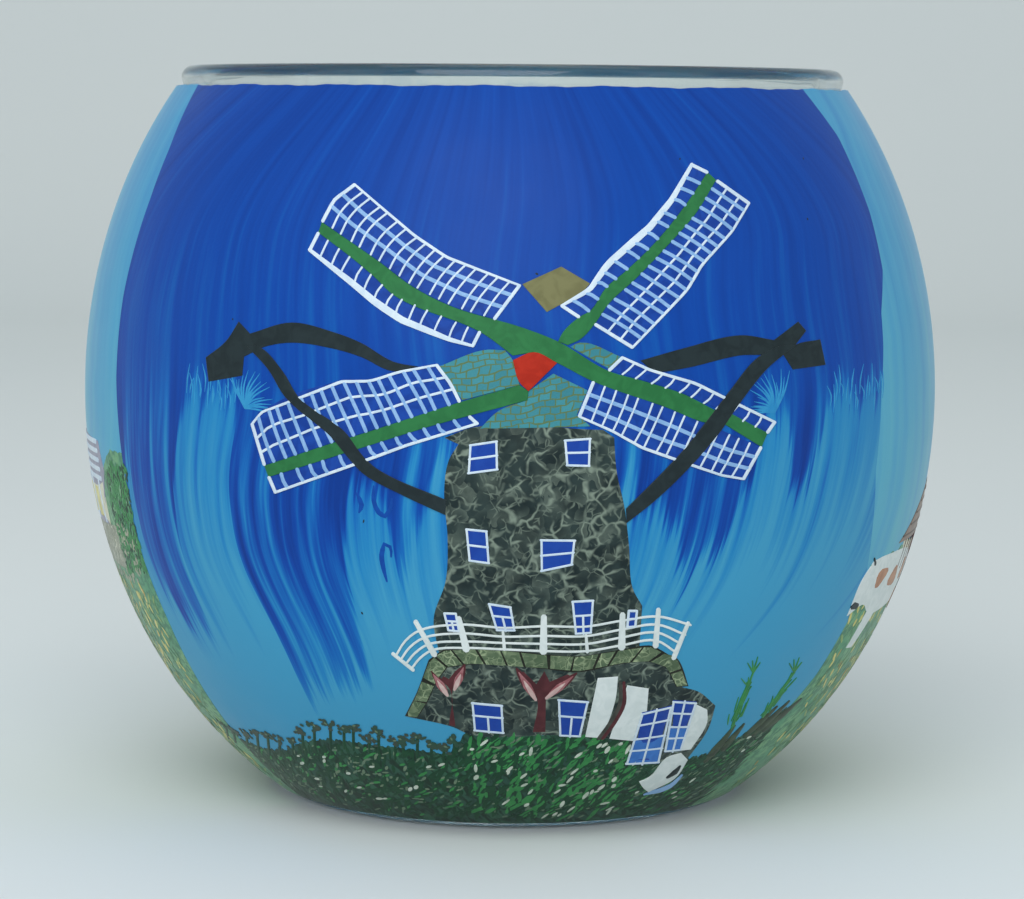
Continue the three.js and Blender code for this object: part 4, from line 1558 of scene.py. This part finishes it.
    def _hedge(self) -> None:
        """Plants a row of dark bushes on stems along the left of the front meadow."""
        stems, heads, lights = Relief(self.globe), [], []
        for across in np.arange(-35.5, -5.0, 1.55):
            across = float(across + self.chance.uniform(-0.5, 0.5))
            angle = self.globe.azimuth(np.array(across), np.array(10.0), Facing.FRONT)
            ground = float(np.interp(angle, *self.front_crest))
            tall = float(self.chance.uniform(1.0, 2.7))
            top = ground + tall
            stems.strand([(across, ground - 0.8), (across + 0.1, top)], 0.34, Level.STONE)
            for _ in range(16):
                drift = self.chance.normal(0, 0.42, 2)
                angle = self.globe.azimuth(np.array(across + drift[0]), np.array(top), Facing.FRONT)
                heads.append((float(angle), top + drift[1] * 0.8))
            lights.append((heads[-1][0], top + 0.25))
        self.bench.lay(stems, "hedge_stems", BLADE_DARK, "meadow_front")
        dusky = Clay("dusky leaf clay", "#414a42", "#2d4f3f")
        plans = (
            ("hedge_heads", dusky, heads, (0.5, 0.8), (0.4, 0.6), Level.INLAY),
            ("hedge_lights", BLADE_SAGE, lights, (0.4, 0.6), (0.2, 0.35), Level.DETAIL),
        )
        for name, finish, spots, length, width, level in plans:
            self._scatter(name, finish, "meadow_front", np.array(spots), length, width, (0, 180), level)

    def _reeds(self) -> None:
        """Plants two reeds with forked tops at the right, over dark strokes."""
        reeds = Relief(self.globe)
        for foot, tip in (((27.2, 13.4), (29.5, 21.6)), ((31.2, 14.4), (35.0, 20.6))):
            foot, tip = np.array(foot), np.array(tip)
            stem = tip - foot
            for _ in range(26):
                share = float(self.chance.uniform(0.0, 0.75))
                start = foot + stem * share + (float(self.chance.normal(0, 0.5 * (1 - share))), 0)
                reach = float(self.chance.uniform(0.16, 0.34)) * (1.1 - share * 0.4)
                end = start + stem * reach + (float(self.chance.normal(0, 0.4)), 0)
                reeds.strand([start, end], (0.1, 0.2, 0.08), Level.STONE + 0.01)
            reeds.strand([foot, (foot + tip) / 2, tip], (0.3, 0.36, 0.2), Level.STONE)
            for turn in (-0.75, -0.25, 0.2, 0.7):
                end = tip + np.array([math.sin(turn), math.cos(turn)]) * float(self.chance.uniform(1.0, 1.7))
                reeds.strand([tip - stem * 0.05, end], (0.26, 0.12), Level.STONE + 0.01)
        self.bench.lay(reeds, "reed_plants", BLADE_FRESH, "meadow_front")
        banks = Relief(self.globe)
        strokes = (
            ((25.0, 9.8), (27.6, 13.9)), ((26.3, 10.4), (28.8, 13.9)), ((29.2, 12.0), (33.0, 15.6)),
            ((30.2, 11.8), (34.6, 16.0)), ((24.2, 9.0), (26.6, 12.6)), ((31.5, 12.2), (36.3, 15.9)),
        )
        for stroke in strokes:
            banks.strand(stroke, (0.7, 0.85, 0.3), Level.STONE)
        self.bench.lay(banks, "reed_banks", Clay("dark bank clay", "#333f31", "#45543f"), "meadow_front")

    def _back_meadow(self) -> None:
        """Strews blades and yellow flowers over the meadow of the sides and the back."""
        crest = self.back_crest
        low = (crest[0], np.minimum(crest[1], self.horizon))
        dark = Clay("hill blade clay", "#4a7a58", "#588a5f")
        pale = Clay("pale blade clay", "#93ac6b", "#84a062")
        plans = (
            ("meadow_dark_blades", dark, 1500, (1.2, 2.8), (0.3, 0.6), 60),
            ("meadow_pale_blades", pale, 900, (0.9, 2.2), (0.3, 0.55), 60),
            ("yellow_petals", PETAL_YELLOW, 950, (1.0, 2.3), (0.4, 0.8), 28),
            ("ochre_petals", PETAL_ORANGE, 300, (0.8, 1.7), (0.3, 0.6), 28),
        )
        for name, finish, count, length, width, lean in plans:
            spots = self._spots(count, self.around, low, (0, 0.95))
            self._scatter(name, finish, "meadow_back", spots, length, width, (-lean, lean), Level.STONE)
        plans = (
            ("bush_leaves", BLADE_FRESH, 260, (0.8, 1.9), (0.3, 0.6)),
            ("bush_shade", BLADE_DARK, 160, (0.7, 1.5), (0.25, 0.5)),
        )
        for name, finish, count, length, width in plans:
            spots = self._spots(count, self.bush, crest, (0.6, 0.96))
            self._scatter(name, finish, "meadow_back", spots, length, width, (-60, 60), Level.STONE)
        self._bank("stony_bank", SCREE, (242, 293), 30.5, self._stony_edge)
        self._bank("grassy_bank", MEADOW, (58, 82), 20.0, self._grassy_edge)
        angles = np.radians(self.chance.uniform(243, 299, 330))
        pebbles = np.stack([angles, self.chance.uniform(29.0, 36.5, 330)], -1)
        length, width = (0.7, 1.6), (0.4, 0.8)
        self._scatter("pebbles", PEBBLE, "meadow_back", pebbles, length, width, (-90, 90), Level.STONE)

    @staticmethod
    def _stony_edge(angle: np.ndarray) -> np.ndarray:
        """Gives the top edge of the stony bank, which starts in a point."""
        return 30.6 + (6.8 - 1.5 * np.abs(np.sin(9 * angle))) * np.sqrt(np.clip((angle - 4.22) / 0.16, 0, 1))

    @staticmethod
    def _grassy_edge(angle: np.ndarray) -> np.ndarray:
        """Gives the top edge of the grassy bank, which ends in a point."""
        rise = 3.6 + 1.3 * np.sin(4 * angle - 4.6) + 0.3 * np.sin(90 * angle)
        return 30.0 + rise * np.sqrt(np.clip((1.43 - angle) / 0.12, 0, 1))

    def _bank(
        self, name: str, finish: Finish, angles: Point, low: float, top: Callable[[np.ndarray], np.ndarray]
    ) -> None:
        """Lays a strip of ground over the foot of the sky.

        Args:
            name: Name of the piece.
            finish: What it is made of.
            angles: Where it starts and ends, degrees.
            low: Height of its lower edge.
            top: Height of its upper edge at an angle.
        """
        start, end = (math.radians(angle) for angle in angles)
        relief = Relief(self.globe)
        sides = (lambda h: np.full_like(h, start), lambda h: np.full_like(h, end))
        relief.sheet(sides, (lambda a: np.full_like(a, low), top), (160, 14), Level.FIELD + 0.01, 0.35)
        self.bench.lay(relief, name, finish, "meadow_back")


@dataclass
class Sail:
    """One sail: the parts that a brace cuts it into, its stock, and how its strands are laid."""

    name: str
    parts: tuple[str, ...]
    stock: tuple[str, ...]
    columns: int
    long_strand: tuple[float, Finish]
    cross_strand: tuple[float, Finish]
    edge: tuple[float, ...] = (0.3, 0.7, 0.85, 0.7, 0.4)
    rows: int = 3

    def nodes(self, side: str) -> tuple[str, ...]:
        """Gives the nodes of the broad or the narrow side."""
        stem = f"sail_{self.name}_{side}"
        return tuple(f"{stem}_{part}" for part in self.parts) or (stem,)


@dataclass
class Mill:
    """The windmill: stone tower and base, tiled cap, sails, tail beams and windows."""

    globe: Globe
    bench: Bench
    stencils: Stencils
    seed: int = 11
    coping_stones: int = 15

    def __post_init__(self) -> None:
        """Starts the mill's own chance."""
        self.chance = random.Random(self.seed)

    def build(self) -> None:
        """Builds the mill from its tower outwards."""
        self._plain()
        self._deck()
        self._railing()
        self._windows()
        self._trees()
        self._sails()
        self._goose()

    def _tile(
        self, node: str, finish: Finish, level: Level, corner: float = 48.0, spread: float = 0.0
    ) -> None:
        """Builds one plain inlay in place of its node."""
        relief = Relief(self.globe)
        relief.tile(curve(grown(self.stencils.loop(node), spread), corner), level)
        self.bench.lay(relief, f"clay_{node}", finish, node, node)

    def _plain(self) -> None:
        """Builds the inlays that are one shade all over."""
        stocks = ("long_stock_left", "long_stock_right", "short_stock_upper")
        stocks += ("short_stock_lower_outer", "short_stock_lower_inner")
        plans = (
            (("tower_wall", "base_wall"), STONE, Level.STONE, 28.0, 0.0),
            (("cap_left", "cap_right", "cap_front"), CAP_TILES, Level.INLAY, 48.0, 0.0),
            (("cap_finial",), TAN, Level.INLAY, 48.0, 0.0),
            (("arm_left", "arm_right", "arm_right_weight"), TIMBER, Level.INLAY, 36.0, 0.0),
            (stocks, LEAF_GREEN, Level.DETAIL, 28.0, 0.0),
            (("brace_left", "brace_right"), TIMBER, Level.BEAM, 48.0, 0.06),
            (("hub",), RED, Level.CROWN, 48.0, 0.0),
            (("panel_left", "panel_middle", "panel_right"), WHITE, Level.INLAY, 48.0, 0.0),
        )
        for nodes, finish, level, corner, spread in plans:
            for node in nodes:
                self._tile(node, finish, level, corner, spread)

    def _sails(self) -> None:
        """Builds the four sails with their strands."""
        thin, thick, even = (0.22, STRAND_WHITE), (0.45, STRAND_BLUE), (0.3, 0.35, 0.3)
        short = ("short_stock_lower_outer", "short_stock_lower_inner")
        long = ("long_stock_left", "long_stock_right")
        white, blue = (0.28, STRAND_WHITE), (0.42, STRAND_BLUE)
        sails = (
            Sail("upper_left", (), ("long_stock_left",), 17, thick, thin),
            Sail("upper_right", (), ("short_stock_upper",), 17, (0.25, STRAND_WHITE), (0.4, STRAND_BLUE)),
            Sail("lower_left", ("outer", "inner"), short, 17, white, blue, even),
            Sail("lower_right", ("inner", "outer"), long, 15, thick, thin, even),
        )
        hub = self.stencils.loop("hub").mean(0)
        for sail in sails:
            self._sail(sail, hub)

    def _whole(self, nodes: tuple[str, ...], beam: str) -> np.ndarray:
        """Gives the outline of a piece, joined across a beam if it is in two."""
        if len(nodes) == 1:
            return self.stencils.loop(nodes[0])
        return self.stencils.joined(nodes, self.stencils.loop(beam))

    def _sail(self, sail: Sail, hub: np.ndarray) -> None:
        """Builds one sail: blue grounds and the strands over them."""
        beam = "brace_left" if "left" in sail.name else "brace_right"
        stock = [self.stencils.loop(node) for node in sail.stock]
        ground, long, cross, frame = (Relief(self.globe) for _ in range(4))
        for side, rows in (("broad", sail.rows), ("narrow", 1)):
            outline = self._whole(sail.nodes(side), beam)
            ground.tile(curve(outline), Level.STONE)
            self._lattice(Band.beside(outline, stock, hub), sail, rows, long, cross, frame)
        nodes = sail.nodes("broad") + sail.nodes("narrow")
        like, stem = nodes[0], f"clay_sail_{sail.name}"
        self.bench.lay(ground, f"{stem}_ground", LATTICE_GROUND, like, *nodes)
        self.bench.lay(long, f"{stem}_long_strands", sail.long_strand[1], like)
        self.bench.lay(cross, f"{stem}_cross_strands", sail.cross_strand[1], like)
        self.bench.lay(frame, f"{stem}_frame", STRAND_WHITE, like)

    def _lattice(self, band: Band, sail: Sail, rows: int, long: Relief, cross: Relief, frame: Relief) -> None:
        """Lays one lattice's strands over its patch, and the white strands round it.

        Args:
            band: The patch, from the hub to the tip and from the stock to the outer edge.
            sail: The sail that it belongs to.
            rows: How many cells across.
            long: Takes the lengthwise strands.
            cross: Takes the crosswise strands.
            frame: Takes the strands round the edge.
        """
        draw = self.chance.uniform
        for k in range(1, rows):
            steps = [draw(-0.03, 0.03) for _ in range(sail.columns // 2)]
            run = np.linspace(0, 1, 3 * sail.columns)
            over = k / rows + np.interp(run, np.linspace(0, 1, len(steps)), steps)
            long.strand(band.at(run, over), sail.long_strand[0], Level.DETAIL)
        columns = sail.columns if rows > 1 else sail.columns - 3
        over = np.linspace(0.02, 0.97, 4 if rows > 1 else 3)
        for k in range(1, columns):
            share = (k + draw(-0.14, 0.14)) / columns
            bow = draw(0.0, 0.008) * np.sin(math.pi * over) + draw(-0.006, 0.006) * over
            cross.strand(band.at(share + bow, over), sail.cross_strand[0], Level.DETAIL + 0.008)
        run, level = np.linspace(0, 1, 24), Level.DETAIL + 0.015
        edge = sail.edge if rows == 1 else (0.26, 0.34, 0.26)
        frame.strand(band.at(run, np.full(24, 0.985)), edge, level)
        for share in (0.003, 0.997):
            frame.strand(band.at(np.full(5, share), np.linspace(0.02, 0.98, 5)), 0.38, level)

    def _windows(self) -> None:
        """Builds the eleven windows, and the small one half hidden at the gallery's right end."""
        two, tee, grid = ((0.5,), ()), ((0.55,), ((0.5, 0.0, 0.55),)), ((0.28, 0.5, 0.76), ((0.5, 0.0, 1.0),))
        styles = {
            "upper_left": two, "upper_right": two, "middle_left": two, "middle_right": two,
            "gallery_left": tee, "gallery_right": tee, "gallery_far_left": tee, "base_left": tee,
            "base_right": tee, "big_left": grid, "big_right": grid,
        }
        frames, panes = Relief(self.globe), Relief(self.globe)
        for place, (bars, posts) in styles.items():
            node = f"window_{place}"
            outline = self.stencils.loop(node)
            corners = self._corners(outline)
            ground = Relief(self.globe)
            ground.tile(outline, Level.DETAIL)
            self.bench.lay(ground, f"clay_{node}", PANE, node, node)
            self._frame(frames, corners, bars, posts, 0.25)
            if bars == grid[0]:
                lower_half = np.array([(0.06, 0.04), (0.94, 0.04), (0.94, 0.48), (0.06, 0.48)])
                panes.tile(self._inside(corners, lower_half), Level.DETAIL + 0.012)
        lone = np.array([(13.75, 28.4), (14.75, 28.45), (14.9, 30.5), (13.9, 30.55)])
        pane = Relief(self.globe)
        pane.tile(lone, Level.DETAIL)
        self.bench.lay(pane, "clay_window_gallery_far_right", PANE, "window_gallery_right")
        self._frame(frames, lone[[3, 2, 0, 1]], (0.5,), (), 0.28)
        self.bench.lay(frames, "clay_window_frames", STRAND_WHITE, "window_middle_right")
        self.bench.lay(panes, "clay_light_panes", PANE_LIGHT, "window_big_left")

    @staticmethod
    def _corners(outline: np.ndarray) -> np.ndarray:
        """Gives the top left, top right, bottom left and bottom right corners of an outline."""
        sharp = outline[np.argsort(turns(outline))[-4:]]
        high = sharp[np.argsort(sharp[:, 1])]
        top, low = high[2:], high[:2]
        return np.array([*top[np.argsort(top[:, 0])], *low[np.argsort(low[:, 0])]])

    @staticmethod
    def _inside(corners: np.ndarray, shares: np.ndarray) -> np.ndarray:
        """Gives places inside four corners from shares across and up."""
        across, up = shares[:, :1], shares[:, 1:]
        top = corners[0] * (1 - across) + corners[1] * across
        low = corners[2] * (1 - across) + corners[3] * across
        return low * (1 - up) + top * up

    def _frame(
        self, relief: Relief, corners: np.ndarray, bars: Sequence[float], posts: Sequence[tuple], width: float
    ) -> None:
        """Lays the frame and bars of one window."""
        edge = 0.03
        ends = [((edge, edge), (edge, 1 - edge)), ((1 - edge, edge), (1 - edge, 1 - edge))]
        ends += [((0, edge), (1, edge)), ((0, 1 - edge), (1, 1 - edge))]
        ends += [((0, bar), (1, bar)) for bar in bars]
        ends += [((post, low), (post, high)) for post, low, high in posts]
        for start, end in ends:
            relief.strand(self._inside(corners, np.array([start, end])), width, Level.DETAIL + 0.02)

    def _deck(self) -> None:
        """Builds the mossy coping: stones over a dark bed."""
        self._tile("gallery_deck", JOINT, Level.INLAY, 28.0)
        loop = self.stencils.loop("gallery_deck")
        low = np.argsort(loop[:, 1])
        left = [i for i in low if loop[i, 0] < 0][:2]
        right = [i for i in low if loop[i, 0] > 10][:2]
        corners = sorted(left + right)
        chains = [np.arange(a, b + 1) for a, b in zip(corners, corners[1:])]
        chains.append(np.concatenate([np.arange(corners[-1], len(loop)), np.arange(0, corners[0] + 1)]))
        chains.sort(key=len)
        long = sorted((loop[c] for c in chains[-2:]), key=lambda line: line[:, 1].mean())
        near, far = (line if line[0, 0] < line[-1, 0] else line[::-1] for line in long)
        band = Band(near, far, np.array([near[0], far[0]]), np.array([near[-1], far[-1]]))
        stones = Relief(self.globe)
        margin, steps = 0.0028, np.linspace(0, 1, 4)
        inner = [k + self.chance.uniform(-0.22, 0.22) for k in range(1, self.coping_stones)]
        cuts = [cut / self.coping_stones for cut in (0, *inner, self.coping_stones)]
        for start, end in zip(cuts, cuts[1:]):
            skew = self.chance.uniform(-0.004, 0.004)
            run = (end - margin - start - margin) * steps + start + margin
            lower, upper = band.at(run, np.full(4, 0.06)), band.at(run + skew, np.full(4, 0.95))
            stone = np.concatenate([lower, upper[::-1]])
            stones.tile(stone if area(stone) > 0 else stone[::-1], Level.INLAY + 0.02)
        self.bench.lay(stones, "clay_coping_stones", MOSS, "gallery_deck")

    def _railing(self) -> None:
        """Builds the gallery's posts and four rails."""
        relief = Relief(self.globe)
        posts = (
            ((-10.7, 29.1), (-8.5, 25.0), 0.6), ((-5.7, 29.7), (-4.8, 25.8), 0.75),
            ((-0.6, 28.2), (-0.4, 25.9), 0.35), ((4.1, 30.0), (4.1, 25.6), 0.8),
            ((9.0, 27.7), (9.2, 25.5), 0.35), ((13.2, 30.1), (13.2, 25.9), 0.75),
            ((17.4, 30.5), (17.2, 25.9), 0.6), ((21.0, 28.6), (19.4, 24.2), 0.5),
        )
        for top, foot, width in posts:
            relief.strand([foot, top], (width * 1.15, width, width * 0.85), Level.DETAIL + 0.02)
        rails = (
            ((-13.0, 24.7), (-11.9, 26.6), (-10.2, 28.0), (-5.5, 28.9), (-0.5, 28.6),
             (4.1, 28.8), (9.0, 28.7), (13.2, 29.3), (17.4, 29.6), (21.3, 28.3)),
            ((-12.5, 24.1), (-11.4, 25.8), (-9.7, 27.1), (-5.3, 27.8), (-0.5, 27.5),
             (4.1, 27.6), (9.0, 27.5), (13.2, 28.2), (17.3, 28.6), (20.7, 27.1)),
            ((-11.9, 23.6), (-10.8, 25.1), (-9.2, 26.3), (-5.1, 26.8), (-0.5, 26.7),
             (4.1, 26.6), (9.0, 26.5), (13.2, 27.2), (17.3, 27.6), (20.2, 26.0)),
            ((-11.2, 23.1), (-10.2, 24.5), (-8.7, 25.6), (-4.9, 26.0), (-0.5, 25.9),
             (4.1, 25.7), (9.0, 25.6), (13.2, 26.2), (17.2, 26.6), (19.7, 24.9)),
        )
        for rail in rails:
            relief.strand(rail, 0.26, Level.DETAIL)
        relief.strand([(-13.4, 24.9), (-11.0, 22.9)], 0.4, Level.DETAIL)
        self.bench.lay(relief, "clay_gallery_railing", WHITE, "gallery_railing", "gallery_railing")

    def _trees(self) -> None:
        """Builds the two small trees with their lens-shaped petals, and the stripes by the door."""
        for node in ("tree_left", "tree_right"):
            self._tile(node, BARK, Level.INLAY, spread=-0.2)
        layers = (
            ("clay_petal_edges", BARK, (0.25, 0.7, 1.0, 0.9, 0.2), 1.0, Level.INLAY),
            ("clay_petal_blades", BLOSSOM_DUSK, (0.25, 0.75, 0.95, 0.5, 0.1), 0.88, Level.DETAIL),
            ("clay_petal_hearts", BLOSSOM, (0.3, 0.6, 0.45, 0.1), 0.62, Level.BEAM),
        )
        petals = (
            ((-8.9, 22.9), (-7.0, 19.8)), ((-5.0, 23.9), (-6.2, 20.6)), ((1.0, 23.5), (3.3, 19.4)),
            ((8.0, 22.8), (4.5, 19.6)),
        )
        for name, finish, widths, reach, level in layers:
            relief = Relief(self.globe)
            for tip, root in petals:
                tip, root = np.array(tip), np.array(root)
                end = root + (tip - root) * reach
                relief.strand([root, (root + end) / 2, end], widths, level)
            self.bench.lay(relief, name, finish, "tree_right")
        line = np.array([(13.6, 21.4), (13.7, 18.6), (12.6, 16.0), (11.3, 13.9)])
        for name, finish, shift in (("clay_door_stripe", BARK, 0.0), ("clay_door_shadow", DUSK, -0.45)):
            stripe = Relief(self.globe)
            stripe.strand(line + (shift, 0), (0.35, 0.5, 0.55, 0.5), Level.INLAY)
            self.bench.lay(stripe, name, finish, "tree_right")

    def _goose(self) -> None:
        """Builds the white goose with its dark wing and the water under it."""
        self._tile("goose", WHITE, Level.BEAM)
        low, high = (np.array(corner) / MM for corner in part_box("goose"))
        centre = np.array([(low[0] + high[0]) / 2 + 1.4, (low[2] + high[2]) / 2])
        wing = Relief(self.globe)
        wing.strand([centre - (0.9, 0.7), centre, centre + (0.6, 0.9)], (0.4, 0.8, 0.3), Level.CROWN)
        self.bench.lay(wing, "clay_goose_wing", TIMBER, "goose")
        pool = Relief(self.globe)
        shore = [centre - (3.6, 3.2), centre - (0.4, 2.3), centre + (1.0, -0.7)]
        pool.strand(shore, (0.3, 0.8, 0.7, 0.3), Level.INLAY)
        self.bench.lay(pool, "clay_goose_water", STRAND_BLUE, "goose")


@dataclass
class Farmyard:
    """What stands on the sides of the globe: the house at the left, the cow and barn at the right."""

    globe: Globe
    bench: Bench
    stencils: Stencils

    def build(self) -> None:
        """Builds both sides."""
        self._house()
        self._cow()
        self._barn()

    def _base(self, node: str, finish: Finish, facing: Facing) -> tuple[np.ndarray, np.ndarray]:
        """Builds a side inlay in place of its node, and gives its flat box."""
        outline = curve(self.stencils.loop(node, facing))
        relief = Relief(self.globe, facing)
        relief.tile(outline, Level.INLAY)
        self.bench.lay(relief, f"clay_{node}", finish, node, node)
        return outline.min(0), outline.max(0)

    def _house(self) -> None:
        """Builds the farmhouse: lilac roof with pale courses, cream wall, yellow door and windows."""
        low, high = self._base("house", LILAC, Facing.LEFT)
        width, height = high - low
        left, right, ground = low[0] + width * 0.1, high[0] - width * 0.12, low[1]
        eaves = ground + height * 0.5
        wall, courses, doors = (Relief(self.globe, Facing.LEFT) for _ in range(3))
        front = [(left, ground + 0.2), (right, ground + 0.2), (right + 0.6, eaves), (left, eaves)]
        wall.tile(front, Level.DETAIL)
        self.bench.lay(wall, "clay_house_wall", CREAM, "house")
        for k in range(5):
            up, ease = eaves + 0.3 + k * 1.15, 0.35 * k
            ends = (left + 0.3 + ease, up), (right + 0.2 - ease * 0.3, up + 0.1)
            courses.strand(ends, 0.62, Level.DETAIL)
        for share in (0.12, 0.5, 0.88):
            spot = left + (right - left) * share
            courses.strand([(spot, ground + 0.3), (spot + 0.1, eaves)], 0.3, Level.BEAM)
        self.bench.lay(courses, "clay_house_courses", STRAND_WHITE, "house")
        for share in (0.3, 0.7):
            spot, half = left + (right - left) * share, 0.75
            sill, head = ground + 0.8, eaves - 1
            door = [(spot - half, sill), (spot + half, sill), (spot + half, head), (spot - half, head)]
            doors.tile(door, Level.BEAM)
        self.bench.lay(doors, "clay_house_doors", PETAL_YELLOW, "house")

    def _cow(self) -> None:
        """Builds the white cow with its brown patches, dark muzzle and tail."""
        low, high = self._base("cow", WHITE, Facing.RIGHT)
        width, height = high - low
        patches = Relief(self.globe, Facing.RIGHT)
        spin = np.linspace(0, 2 * math.pi, 14, endpoint=False)
        spots = (
            (0.28, 0.76, 3.2, 2.4, 0.3), (0.55, 0.7, 3.6, 2.6, -0.2), (0.82, 0.72, 2.4, 3.0, 0.4),
            (0.9, 0.4, 1.0, 2.6, 0),
        )
        for x, y, long, tall, tip in spots:
            wobble = 1 + 0.16 * np.sin(3 * spin + 5 * x)
            ring = np.stack([np.cos(spin) * long / 2 * wobble, np.sin(spin) * tall / 2 * wobble], -1)
            turn = np.array([[math.cos(tip), -math.sin(tip)], [math.sin(tip), math.cos(tip)]])
            patches.tile(ring @ turn.T + low + (width * x, height * y), Level.DETAIL)
        self.bench.lay(patches, "clay_cow_patches", COW_BROWN, "cow")
        dark = Relief(self.globe, Facing.RIGHT)
        lines = (
            (((0.98, 0.75), (1.0, 0.5), (0.97, 0.28)), (0.3, 0.25, 0.5)),
            (((0.03, 0.52), (0.09, 0.5)), (0.9, 0.7)),
            (((0.1, 0.93), (0.06, 1.0)), (0.4, 0.2)),
        )
        for shares, widths in lines:
            dark.strand(low + np.array(shares) * (width, height), widths, Level.DETAIL)
        self.bench.lay(dark, "clay_cow_tail", TIMBER, "cow")

    def _barn(self) -> None:
        """Builds the barn roof with its courses, and the plank wall under it."""
        low, high = self._base("barn_roof", ROOF_BROWN, Facing.RIGHT)
        width, height = high - low
        courses = Relief(self.globe, Facing.RIGHT)
        for k in range(5):
            up = low[1] + 0.7 + k * height / 5.4
            slip = k * width * 0.065
            ends = (low[0] + 1.2 + slip * 1.2, up), (high[0] - 0.8 - slip * 0.6, up)
            courses.strand(ends, 0.25, Level.DETAIL)
        joint = Clay("roof joint clay", "#5e4a40", "#514037")
        self.bench.lay(courses, "clay_barn_courses", joint, "barn_roof")
        wall = Relief(self.globe, Facing.RIGHT)
        left, right, ground, eaves = low[0] + 2.5, high[0] - 1.5, 30.6, low[1] + 0.3
        wall.tile([(left, ground), (right, ground), (right, eaves), (left, eaves)], Level.STONE)
        self.bench.lay(wall, "clay_barn_wall", CREAM, "barn_roof")
        planks = Relief(self.globe, Facing.RIGHT)
        for across in np.arange(low[0] + 3.4, high[0] - 1.6, 1.7):
            planks.strand([(across, 30.8), (across, low[1] + 0.1)], 0.2, Level.INLAY)
        self.bench.lay(planks, "clay_barn_planks", BARK, "barn_roof")


@dataclass
class Studio:
    """Pale sweep, soft lights and the camera."""

    camera_distance: float = 409.5
    camera_height: float = 88.0
    tilt: float = 6.168
    roll: float = 0.45
    lens: float = 110.81
    shift: float = 0.00244
    floor_front: float = -1500.0
    floor_back: float = 900.0
    bend: float = 300.0
    wall_top: float = 1500.0
    half_width: float = 1800.0
    room_light: float = 0.56

    def build(self) -> None:
        """Sets the stage."""
        self._camera()
        self._sweep()
        self._lights()

    def _camera(self) -> None:
        """Places the camera a little above the rim, looking slightly down."""
        camera = bpy.data.objects.new("camera", bpy.data.cameras.new("camera"))
        camera.data.lens = self.lens
        camera.data.sensor_width = 36.0
        camera.data.shift_x = self.shift
        camera.location = (0, -self.camera_distance * MM, self.camera_height * MM)
        level = Euler((math.radians(90 - self.tilt), 0, 0)).to_quaternion()
        camera.rotation_mode = "QUATERNION"
        camera.rotation_quaternion = level @ Quaternion((0, 0, 1), math.radians(self.roll))
        bpy.context.scene.collection.objects.link(camera)
        bpy.context.scene.camera = camera

    def _sweep(self) -> None:
        """Builds the floor that curves up into the backdrop."""
        profile = [(self.floor_front, 0.0), (self.floor_back, 0.0)]
        for k in range(1, 17):
            angle = math.pi / 2 * k / 16
            profile.append((self.floor_back + self.bend * math.sin(angle), self.bend * (1 - math.cos(angle))))
        profile.append((self.floor_back + self.bend, self.wall_top))
        points, faces = [], []
        for y, z in profile:
            points += [(-self.half_width, y, z), (self.half_width, y, z)]
        for k in range(len(profile) - 1):
            a = 2 * k
            faces.append([a, a + 1, a + 3, a + 2])
        floor = shaped("sweep", np.array(points), faces, Backdrop("pale paper"))

    def _lights(self) -> None:
        """Hangs soft boxes in front of and beside the globe and over the backdrop, in a pale room."""
        world = bpy.data.worlds.new("room")
        world.use_nodes = True
        bpy.context.scene.world = world
        ground = next(n for n in world.node_tree.nodes if n.type == "BACKGROUND")
        ground.inputs["Color"].default_value = linear("#e6f0f2")
        ground.inputs["Strength"].default_value = self.room_light
        boxes = (
            ("key_box", (-120.0, -800.0, 650.0), (0, 0, 0), 800.0, 7.0),
            ("left_box", (-900.0, -500.0, 700.0), (0, 0, 50), 600.0, 0.8),
            ("right_box", (900.0, -500.0, 700.0), (0, 0, 50), 600.0, 0.8),
            ("backdrop_box", (0.0, 450.0, 1350.0), (0, 1200, 250), 900.0, 2.2),
        )
        for name, place, aim, size, power in boxes:
            light = bpy.data.lights.new(name, "AREA")
            light.shape = "SQUARE"
            light.size = size * MM
            light.energy = power
            light.color = linear("#f7fbff")[:3]
            lamp = bpy.data.objects.new(name, light)
            lamp.location = [v * MM for v in place]
            lamp.rotation_mode = "QUATERNION"
            lamp.rotation_quaternion = Vector(np.subtract(aim, place)).to_track_quat("-Z", "Y")
            bpy.context.scene.collection.objects.link(lamp)
        bpy.context.scene.view_settings.view_transform = "Standard"


def main() -> None:
    """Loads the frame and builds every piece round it."""
    logging.basicConfig(level=logging.INFO, format="%(message)s")
    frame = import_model()
    nodes = frame["nodes"]
    bench = Bench(frame)
    globe = Globe.measured(nodes["sky_back"], nodes["meadow_back"])
    log.info("globe %s", globe)
    stencils = Stencils(globe, nodes)
    Studio().build()
    GlassBowl(globe, bench).build()
    TeaLight(bench).build()
    Land(globe, bench, stencils, Seams()).build()
    Mill(globe, bench, stencils).build()
    Farmyard(globe, bench, stencils).build()


if __name__ == "__main__":
    main()
